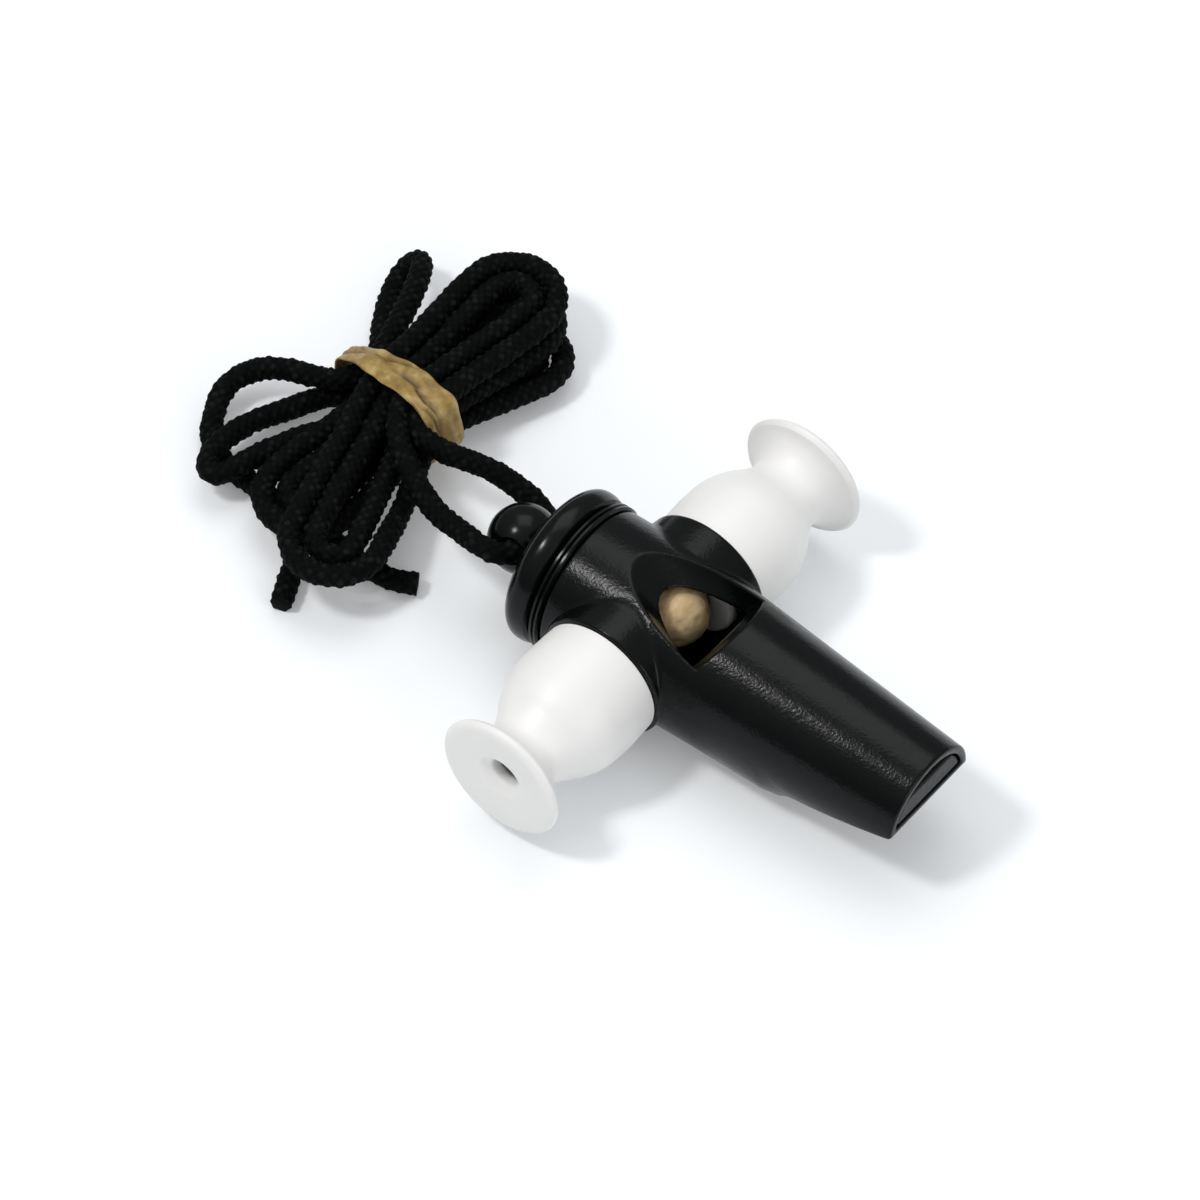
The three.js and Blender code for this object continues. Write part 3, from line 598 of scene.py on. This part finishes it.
# One point in every cell that the surface crosses, amid its crossings of the cell's edges
def cell_points(values, inside):
    shape = values.shape
    corner_sum = np.zeros(tuple(n - 1 for n in shape) + (3,))
    hits = np.zeros(tuple(n - 1 for n in shape))

    def corner(o):
        return tuple(slice(o[d], shape[d] - 1 + o[d]) for d in range(3))

    for a in (np.array((i, j, k)) for i in (0, 1) for j in (0, 1) for k in (0, 1)):
        for d in range(3):
            if a[d]:
                continue
            b = a.copy()
            b[d] = 1
            va, vb = values[corner(a)], values[corner(b)]
            crossed = inside[corner(a)] != inside[corner(b)]
            t = np.where(crossed, va / np.where(crossed, va - vb, 1.0), 0.0)
            spot = a[None, None, None, :] + t[..., None] * (b - a)
            corner_sum += np.where(crossed[..., None], spot, 0.0)
            hits += crossed
    active = hits > 0
    number = -np.ones(active.shape, int)
    number[active] = np.arange(active.sum())
    return np.argwhere(active) + corner_sum[active] / hits[active][:, None], number


# One face round every edge of the grid that the surface crosses
def edge_faces(inside, number):
    faces = []
    for d in range(3):
        e, f = (d + 1) % 3, (d + 2) % 3
        start, stop = [slice(None)] * 3, [slice(None)] * 3
        start[d], stop[d] = slice(0, -1), slice(1, None)
        here, there = inside[tuple(start)], inside[tuple(stop)]
        edges = np.argwhere(here != there)
        for across in (e, f):
            edges = edges[(edges[:, across] > 0) & (edges[:, across] < inside.shape[across] - 1)]
        leaving = here[tuple(edges.T)]
        ring = []
        for de, df in ((-1, -1), (0, -1), (0, 0), (-1, 0)):
            spot = edges.copy()
            spot[:, e] += de
            spot[:, f] += df
            ring.append(number[tuple(spot.T)])
        quad = np.stack(ring, 1)
        quad[~leaving] = quad[~leaving][:, ::-1]
        faces.append(quad)
    return np.vstack(faces)


def moulded(name, distance, low, high, cell):
    axes = [np.arange(a, b + cell, cell) for a, b in zip(low, high)]
    values = distance(np.array(np.meshgrid(*axes, indexing="ij")))
    inside = values < 0
    places, number = cell_points(values, inside)
    points = (places * cell + np.array([a[0] for a in axes])).T
    for _ in range(SETTLE_ROUNDS):
        slope = gradient_of(distance, points)
        move = distance(points) * slope / np.maximum((slope ** 2).sum(0), LEAST_SLOPE)
        points = points - np.clip(move, -0.5 * cell, 0.5 * cell)
    slope = gradient_of(distance, points)
    slope /= np.maximum(np.linalg.norm(slope, axis=0), 1e-6)
    return make_mesh(name, points.T + SHIFT, edge_faces(inside, number), slope.T)


body = moulded("body_shell", body_distance, *BODY_BOX, BODY_CELL)
block = moulded("windway_block", block_distance, *BLOCK_BOX, BLOCK_CELL)
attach(body, "whistle")
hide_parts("body")
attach(block, "whistle")
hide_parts("fipple_block")

# Turned pieces: profiles of radius and place along the axis. Angles are in degrees
TUBE_SEGMENTS, TUBE_SHARP, TUBE_EDGE = 120, 40, 0.35
FLANK_STEPS, RIM_STEPS = 72, 20
CAP_SEGMENTS, CAP_SHARP = 144, 32
KNOB_STEPS, FLANGE_STEPS, FLANGE_FOOT = 48, 24, 0.6
HOLE_SEGMENTS, HOLE_ROWS, HOLE_REACH = 64, 61, 6.0
FLARE, FLARE_DEPTH = 0.75, 1.0
STRAIGHT, EDGE_SHARE, EDGE_STEPS = 155, 0.45, 4
CHAMFER, BORE_CONE, FINGER_SINK_DEPTH = 0.4, 1.0, 1.1
DISH_KNEE_OUT, DISH_KNEE_SHARE, PLUG_CLEAR = 2.2, 0.66, 0.2


def lathe(profile, segments, axis, side=1):
    around = np.linspace(0.0, 2 * math.pi, segments, endpoint=False)
    rows = []
    for r, t in profile:
        a, b = r * np.cos(around), r * np.sin(around)
        if axis == "x":
            rows.append(np.stack((np.full(segments, t), a, b), 1))
        else:
            rows.append(np.stack((b, np.full(segments, t * side), a * side), 1))
    return np.vstack(rows)


def shade_by_angle(piece, degrees):
    piece.data.set_sharp_from_angle(angle=math.radians(degrees))


def profile_curve(points, count):
    points = np.array(points, float)
    padded = np.vstack((points[0], points, points[-1]))
    line = []
    for i in range(count + 1):
        t = (len(points) - 1) * i / count
        k = min(int(t), len(points) - 2)
        w = t - k
        p0, p1, p2, p3 = padded[k:k + 4]
        v0, v1 = (p2 - p0) * 0.5, (p3 - p1) * 0.5
        cubic, square = 2 * p1 - 2 * p2 + v0 + v1, -3 * p1 + 3 * p2 - 2 * v0 - v1
        line.append(cubic * w ** 3 + square * w * w + v0 * w + p1)
    return np.array(line)


def rounded(profile, radius):
    out = []
    count = len(profile)
    for i in range(count):
        p = np.array(profile[i], float)
        a, b = np.array(profile[i - 1], float), np.array(profile[(i + 1) % count], float)
        u, v = a - p, b - p
        lu, lv = np.linalg.norm(u), np.linalg.norm(v)
        bend = np.degrees(np.arccos(np.clip(np.dot(u, v) / (lu * lv), -1, 1)))
        if bend > STRAIGHT:
            out.append(p)
            continue
        reach = min(radius, EDGE_SHARE * lu, EDGE_SHARE * lv)
        start, end = p + u / lu * reach, p + v / lv * reach
        for k in range(EDGE_STEPS + 1):
            t = k / EDGE_STEPS
            out.append((1 - t) ** 2 * start + 2 * t * (1 - t) * p + t * t * end)
    return np.array(out)


def tone_tube(name, side):
    rim_start = (DISC_R - 0.4, DISC_RIM_Y - 0.6)
    flank = profile_curve([
        (BULB_BASE_R, BOSS_Y + SEAT_GAP), (BULB_R - 0.05, BULB_WIDE_Y - 2.6), (BULB_R, BULB_WIDE_Y),
        (BULB_R - 0.3, BULB_WIDE_Y + 3.6), (SHOULDER_R, SHOULDER_Y),
        ((SHOULDER_R + NECK_R) / 2 - 0.1, SHOULDER_Y + 2.1), (NECK_R, NECK_Y), (NECK_R + 0.5, NECK_Y + 1.8),
        (DISC_R - 1.9, DISC_RIM_Y - 1.4), rim_start,
    ], FLANK_STEPS)
    face = DISC_RIM_Y + DISC_RIM_HALF
    spigot_r = SOCKET_R - FIT_GAP
    rim = profile_curve([
        rim_start, (DISC_R, DISC_RIM_Y), (DISC_R - 0.2, DISC_RIM_Y + 0.55 * DISC_RIM_HALF),
        (DISC_R - 0.7, face - 0.08), (DISC_R - 1.2, face),
    ], RIM_STEPS)[1:]
    outside = [
        (spigot_r - CHAMFER, SPIGOT_END_Y), (spigot_r, SPIGOT_END_Y + CHAMFER),
        (spigot_r, BOSS_Y + SEAT_GAP),
    ]
    inside = [
        (FINGER_SINK_R + DISH_KNEE_OUT, face - DISH_KNEE_SHARE * DISC_DISH), (FINGER_SINK_R, face - DISC_DISH),
        (FINGER_HOLE_R, face - DISC_DISH - FINGER_SINK_DEPTH), (FINGER_HOLE_R, TUBE_BORE_END_Y),
        (TUBE_BORE_R, TUBE_BORE_END_Y - BORE_CONE), (TUBE_BORE_R, SPIGOT_END_Y),
    ]
    profile = rounded([*outside, *flank.tolist(), *rim.tolist(), *inside], TUBE_EDGE)[::-1]
    points = lathe(profile, TUBE_SEGMENTS, "y", side) + SHIFT
    piece = make_mesh(name, points, grid_faces(len(profile), TUBE_SEGMENTS, close_rows=True))
    shade_by_angle(piece, TUBE_SHARP)
    return piece


for name, node, body_name, direction in (
    ("tube_near", "tone_tube_near", "near_tube", -1), ("tube_far", "tone_tube_far", "far_tube", 1),
):
    tube = tone_tube(name, direction)
    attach(tube, body_name)
    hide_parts(node)


def cap_profile():
    seat_x = BODY_REAR_X - SEAT_GAP
    plug_end_x, plug_r = -(SOCKET_R + PLUG_CLEAR), CHAMBER_R - FIT_GAP
    groove_front = FLANGE_FRONT_X + GROOVE_W
    ring_w = (seat_x - groove_front) / 2
    neck_angle = math.pi - math.asin(KNOB_NECK_R / KNOB_R)
    angles = [neck_angle * i / KNOB_STEPS for i in range(1, KNOB_STEPS + 1)]
    knob = [(KNOB_R * math.sin(angle), KNOB_X - KNOB_R * math.cos(angle)) for angle in angles]
    reach = FLANGE_R - KNOB_NECK_R - FLANGE_FOOT
    flange = []
    for i in range(FLANGE_STEPS + 1):
        angle = math.pi / 2 * i / FLANGE_STEPS
        flange.append((KNOB_NECK_R + FLANGE_FOOT + reach * math.sin(angle) ** 0.8,
                       FLANGE_WIDE_X - (FLANGE_WIDE_X - FLANGE_REAR_X) * max(math.cos(angle), 0.0) ** 0.9))
    front = [
        (FLANGE_R - 0.06, FLANGE_WIDE_X + 0.8), (FLANGE_R - 0.35, FLANGE_FRONT_X - 0.35),
        (FLANGE_R - 0.8, FLANGE_FRONT_X), (GROOVE_R, FLANGE_FRONT_X), (GROOVE_R, groove_front),
        (RING_R - 0.3, groove_front), (RING_R, groove_front + 0.3 * ring_w),
        (RING_R, groove_front + 0.7 * ring_w), (RING_R - RING_NOTCH, groove_front + ring_w),
        (RING_R, groove_front + 1.3 * ring_w), (RING_R, groove_front + 1.7 * ring_w), (RING_R - 0.35, seat_x),
        (plug_r, seat_x), (plug_r, plug_end_x - CHAMFER), (plug_r - CHAMFER, plug_end_x),
    ]
    return np.array(knob + [(KNOB_NECK_R, FLANGE_REAR_X - CHAMFER)] + flange + front)


# The plug's cord hole widens at both of its mouths, and is cut at the angle at which the cord passes
def make_cap(name):
    profile = cap_profile()
    ends = ((KNOB_X - KNOB_R, 0, 0), (profile[-1][1], 0, 0))
    points = np.vstack((lathe(profile, CAP_SEGMENTS, "x"), ends)) + SHIFT
    cap = make_mesh(name, points, closed_tube_faces(len(profile), CAP_SEGMENTS))
    mouth = math.sqrt(KNOB_R ** 2 - (CORD_HOLE_X - KNOB_X) ** 2)
    flare = [(CORD_HOLE_R + FLARE * max(0.0, (abs(t) - mouth + FLARE_DEPTH)) ** 2, t)
             for t in np.linspace(-HOLE_REACH, HOLE_REACH, HOLE_ROWS)]
    c, s = math.cos(CAP_ROLL), math.sin(CAP_ROLL)
    roll = np.array(((1, 0, 0), (0, c, -s), (0, s, c)))
    cut_points = lathe(flare, HOLE_SEGMENTS, "y") @ roll.T + (CORD_HOLE_X, 0, 0) + SHIFT
    cut_faces = [tuple(f) for f in grid_faces(HOLE_ROWS, HOLE_SEGMENTS)]
    for row in (0, HOLE_ROWS - 1):
        cut_faces.append(tuple(range(row * HOLE_SEGMENTS, (row + 1) * HOLE_SEGMENTS)))
    cut = make_mesh("cord_hole", cut_points, cut_faces)
    cutter = cap.modifiers.new("hole", "BOOLEAN")
    cutter.operation = "DIFFERENCE"
    cutter.solver = "EXACT"
    cutter.object = cut
    bpy.context.view_layer.update()
    whole = bpy.data.meshes.new_from_object(cap.evaluated_get(bpy.context.evaluated_depsgraph_get()))
    cap.modifiers.clear()
    without_slivers(whole)
    cap.data = whole
    bpy.data.objects.remove(cut)
    shade_by_angle(cap, CAP_SHARP)
    return cap


cap = make_cap("end_plug")
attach(cap, "whistle")
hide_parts("end_cap")

# Cork pea: a ball with small pits
PEA_RINGS, PEA_SEGMENTS, PEA_PITS = 72, 112, 90
PIT_REACH, PIT_DEPTH = (0.06, 0.16), (0.04, 0.16)
PEA_INSET, POLE_INSET = 0.02, 0.06
PEA_SEED = 7


def make_pea(name):
    theta = np.pi * (np.arange(PEA_RINGS) + 0.5) / PEA_RINGS
    phi = np.linspace(0.0, 2 * math.pi, PEA_SEGMENTS, endpoint=False)
    unit = np.stack((np.outer(np.sin(theta), np.cos(phi)), np.outer(np.sin(theta), np.sin(phi)),
                     np.outer(np.cos(theta), np.ones(PEA_SEGMENTS))), 2).reshape(-1, 3)
    rng = np.random.default_rng(PEA_SEED)
    centres = rng.normal(size=(PEA_PITS, 3))
    centres /= np.linalg.norm(centres, axis=1)[:, None]
    reach = rng.uniform(*PIT_REACH, PEA_PITS)
    depth = rng.uniform(*PIT_DEPTH, PEA_PITS)
    radius = np.full(len(unit), PEA_R - PEA_INSET)
    for c, w, d in zip(centres, reach, depth):
        radius -= d * np.exp(-(np.linalg.norm(unit - c, axis=1) / w) ** 2)
    poles = np.array(((0, 0, PEA_R - POLE_INSET), (0, 0, POLE_INSET - PEA_R)))
    points = np.vstack((unit * radius[:, None], poles)) + PEA_AT + SHIFT
    return make_mesh(name, points, closed_tube_faces(PEA_RINGS, PEA_SEGMENTS))


pea = make_pea("cork_pea")
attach(pea, "pea")
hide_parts("pea")

# Materials. A noise runs mostly between these two values
NOISE_LOW, NOISE_HIGH = 0.3, 0.7
BLACKS = [(0.3, (0.001, 0.0015, 0.0016)), (0.7, (0.002, 0.0028, 0.0029))]
BLACK_IOR, BLACK_LEVEL = 1.2, 0.85


class Nodes:
    def __init__(self, name):
        self.material = bpy.data.materials.new(name)
        self.material.use_nodes = True
        self.tree = self.material.node_tree
        self.shader = self.tree.nodes["Principled BSDF"]
        self.coords = self.tree.nodes.new("ShaderNodeTexCoord").outputs["Object"]

    def link(self, a, b):
        self.tree.links.new(a, b)

    def noise(self, scale, detail, rough=0.5, stretch=None):
        node = self.tree.nodes.new("ShaderNodeTexNoise")
        node.inputs["Scale"].default_value = scale
        node.inputs["Detail"].default_value = detail
        node.inputs["Roughness"].default_value = rough
        source = self.coords
        if stretch:
            mapping = self.tree.nodes.new("ShaderNodeMapping")
            mapping.inputs["Scale"].default_value = stretch[0]
            mapping.inputs["Rotation"].default_value = stretch[1]
            self.link(source, mapping.inputs["Vector"])
            source = mapping.outputs["Vector"]
        self.link(source, node.inputs["Vector"])
        return node.outputs["Fac"]

    def cells(self, scale):
        node = self.tree.nodes.new("ShaderNodeTexVoronoi")
        node.inputs["Scale"].default_value = scale
        self.link(self.coords, node.inputs["Vector"])
        return node.outputs["Distance"]

    def ramp(self, value, stops):
        node = self.tree.nodes.new("ShaderNodeValToRGB")
        while len(node.color_ramp.elements) < len(stops):
            node.color_ramp.elements.new(0.5)
        for element, (at, colour) in zip(node.color_ramp.elements, stops):
            element.position = at
            element.color = (*colour, 1.0)
        self.link(value, node.inputs["Fac"])
        return node.outputs["Color"]

    def spread(self, value, low, high):
        node = self.tree.nodes.new("ShaderNodeMapRange")
        node.inputs["From Min"].default_value = NOISE_LOW
        node.inputs["From Max"].default_value = NOISE_HIGH
        node.inputs["To Min"].default_value = low
        node.inputs["To Max"].default_value = high
        self.link(value, node.inputs["Value"])
        return node.outputs["Result"]

    def stored(self, name):
        node = self.tree.nodes.new("ShaderNodeAttribute")
        node.attribute_name = name
        return node.outputs["Fac"]

    def mix(self, a, b, share):
        node = self.tree.nodes.new("ShaderNodeMix")
        node.data_type = "FLOAT"
        node.inputs["Factor"].default_value = share
        self.link(a, node.inputs[2])
        self.link(b, node.inputs[3])
        return node.outputs[0]

    def blend(self, share, colour, other):
        node = self.tree.nodes.new("ShaderNodeMix")
        node.data_type = "RGBA"
        self.link(share, node.inputs["Factor"])
        self.link(colour, node.inputs[6])
        node.inputs[7].default_value = (*other, 1.0)
        return node.outputs[2]

    def colour(self, value):
        self.link(value, self.shader.inputs["Base Color"])

    def roughness(self, value, low, high):
        self.link(self.spread(value, low, high), self.shader.inputs["Roughness"])

    def bump(self, height, depth, strength):
        node = self.tree.nodes.new("ShaderNodeBump")
        node.inputs["Distance"].default_value = depth
        node.inputs["Strength"].default_value = strength
        self.link(height, node.inputs["Height"])
        self.link(node.outputs["Normal"], self.shader.inputs["Normal"])

    def set(self, **values):
        for key, value in values.items():
            self.shader.inputs[key.replace("_", " ")].default_value = value


def dress(piece, nodes):
    piece.data.materials.clear()
    piece.data.materials.append(nodes.material)


satin = Nodes("satin_black")
satin.colour(satin.ramp(satin.noise(160.0, 3.0), BLACKS))
satin.roughness(satin.noise(900.0, 3.0), 0.17, 0.25)
satin.set(IOR=BLACK_IOR, Specular_IOR_Level=BLACK_LEVEL)
satin.bump(satin.mix(satin.noise(2500.0, 2.0), satin.noise(800.0, 2.0), 0.35), 0.00006, 0.9)
dress(body, satin)

gloss = Nodes("gloss_black")
gloss.colour(gloss.ramp(gloss.noise(220.0, 3.0), BLACKS))
gloss.roughness(gloss.noise(700.0, 4.0), 0.17, 0.22)
gloss.set(IOR=BLACK_IOR, Specular_IOR_Level=BLACK_LEVEL)
gloss.bump(gloss.noise(500.0, 2.0), 0.00003, 0.25)
dress(cap, gloss)

grey = Nodes("matte_grey")
grey.colour(grey.ramp(grey.noise(500.0, 4.0), [(0.3, (0.009, 0.0095, 0.009)), (0.7, (0.016, 0.016, 0.015))]))
grey.roughness(grey.noise(1200.0, 2.0), 0.5, 0.64)
grey.bump(grey.noise(1800.0, 3.0), 0.00005, 0.4)
dress(block, grey)

white = Nodes("satin_white")
white.colour(white.ramp(white.noise(120.0, 3.0), [(0.3, (0.882, 0.872, 0.852)), (0.7, (0.9, 0.892, 0.875))]))
white.set(Roughness=0.42)
for name in ("tube_near", "tube_far"):
    dress(bpy.data.objects[name], white)

cork = Nodes("cork")
grain = cork.noise(520.0, 4.0, 0.6, ((1.0, 0.35, 1.0), (0.4, 0.2, 0.8)))
cork.colour(cork.ramp(grain, [
    (0.25, (0.42, 0.27, 0.12)), (0.5, (0.66, 0.47, 0.25)), (0.75, (0.8, 0.63, 0.38))]))
cork.set(Roughness=0.85)
cork.bump(cork.mix(grain, cork.cells(900.0), 0.4), 0.0001, 0.5)
dress(pea, cork)

braid = Nodes("black_braid")
fibre = braid.noise(5200.0, 3.0, 0.6)
# Random fibre specks, mixed with painted highlight on the braid's crowns and painted shade in its valleys
fibre_specks_and_painted_highlight = braid.mix(braid.mix(fibre, braid.noise(1300.0, 2.0), 0.5), braid.stored("crown_painted_highlight"), 0.5)
braid.colour(braid.ramp(fibre_specks_and_painted_highlight, [
    (0.2, (0.0003, 0.0004, 0.0004)), (0.48, (0.0016, 0.0021, 0.002)), (0.85, (0.013, 0.0149, 0.0142))]))
braid.roughness(fibre, 0.62, 0.82)
braid.bump(fibre, 0.00012, 0.7)
braid.set(Specular_IOR_Level=0.07)
dress(cord_far, braid)
dress(cord_near, braid)

rubber = Nodes("tan_rubber")
cloud = rubber.noise(420.0, 4.0, 0.6, ((1.0, 1.0, 1.0), (0.0, 0.0, 0.6)))
tan = rubber.ramp(cloud, [
    (0.28, (0.19, 0.11, 0.021)), (0.5, (0.31, 0.2, 0.05)), (0.72, (0.48, 0.36, 0.135))])
# Painted shade: dark brown where the fold attribute is high, in the slit and the folds
rubber.colour(rubber.blend(rubber.stored("fold"), tan, (0.07, 0.03, 0.006)))
rubber.roughness(rubber.noise(1500.0, 2.0), 0.38, 0.55)
rubber.bump(rubber.noise(1700.0, 3.0), 0.00006, 0.5)
dress(band, rubber)

# Floor, soft light and white surround. The floor's lift shows to the camera and in reflections only
FLOOR_HALF = 4000
FLOOR_COLOUR, FLOOR_ROUGHNESS, FLOOR_LIFT = (0.865, 0.89, 0.915, 1.0), 0.9, 0.16
SURROUND_COLOUR, SURROUND_LOW, SURROUND_HIGH = (0.97, 0.985, 1.0, 1.0), 0.2, 0.68
LIGHTS_AIM = (-0.02, 0.0, 0.01)
corners = [(x * FLOOR_HALF, y * FLOOR_HALF, 0) for x, y in ((-1, -1), (1, -1), (1, 1), (-1, 1))]
floor = make_mesh("floor", corners, [(0, 1, 2, 3)])
ground = bpy.data.materials.new("floor_white")
ground.use_nodes = True
tree = ground.node_tree
matt = tree.nodes["Principled BSDF"]
matt.inputs["Base Color"].default_value = FLOOR_COLOUR
matt.inputs["Roughness"].default_value = FLOOR_ROUGHNESS
matt.inputs["Specular IOR Level"].default_value = 0.0
lift = tree.nodes.new("ShaderNodeEmission")
lift.inputs["Color"].default_value = (1.0, 1.0, 1.0, 1.0)
path = tree.nodes.new("ShaderNodeLightPath")
seen = tree.nodes.new("ShaderNodeMath")
seen.operation = "MULTIPLY"
seen.inputs[1].default_value = FLOOR_LIFT
shown = path.outputs["Is Camera Ray"]
for ray in ("Is Glossy Ray", "Is Transmission Ray"):
    either = tree.nodes.new("ShaderNodeMath")
    either.operation = "MAXIMUM"
    tree.links.new(shown, either.inputs[0])
    tree.links.new(path.outputs[ray], either.inputs[1])
    shown = either.outputs[0]
tree.links.new(shown, seen.inputs[0])
tree.links.new(seen.outputs[0], lift.inputs["Strength"])
both = tree.nodes.new("ShaderNodeAddShader")
tree.links.new(matt.outputs[0], both.inputs[0])
tree.links.new(lift.outputs[0], both.inputs[1])
tree.links.new(both.outputs[0], tree.nodes["Material Output"].inputs["Surface"])
floor.data.materials.append(ground)


def area_light(name, location, size, power, colour):
    data = bpy.data.lights.new(name, "AREA")
    data.shape = "RECTANGLE"
    data.size = data.size_y = size
    data.energy = power
    data.color = colour
    lamp = bpy.data.objects.new(name, data)
    lamp.location = location
    direction = Vector(LIGHTS_AIM) - Vector(location)
    lamp.rotation_mode = "QUATERNION"
    lamp.rotation_quaternion = direction.to_track_quat("-Z", "Y")
    bpy.context.scene.collection.objects.link(lamp)


area_light("key", location=(-0.31, -0.36, 0.79), size=0.14, power=2.75, colour=(1.0, 0.99, 0.975))
area_light("overhead", location=(-0.24, 0.3, 0.84), size=0.6, power=1.75, colour=(1.0, 1.0, 1.0))
area_light("fill", location=(0.8, -0.15, 0.35), size=0.5, power=1.7, colour=(1.0, 1.0, 1.0))
world = bpy.data.worlds.new("studio")
bpy.context.scene.world = world
world.use_nodes = True
backdrop = world.node_tree.nodes["Background"]
backdrop.inputs["Color"].default_value = SURROUND_COLOUR
height = world.node_tree.nodes.new("ShaderNodeSeparateXYZ")
shade = world.node_tree.nodes.new("ShaderNodeMapRange")
direction = world.node_tree.nodes.new("ShaderNodeTexCoord").outputs["Generated"]
shade.inputs["To Min"].default_value = SURROUND_LOW
shade.inputs["To Max"].default_value = SURROUND_HIGH
world.node_tree.links.new(direction, height.inputs[0])
world.node_tree.links.new(height.outputs["Z"], shade.inputs["Value"])
world.node_tree.links.new(shade.outputs["Result"], backdrop.inputs["Strength"])
bpy.context.scene.view_settings.view_transform = "Standard"
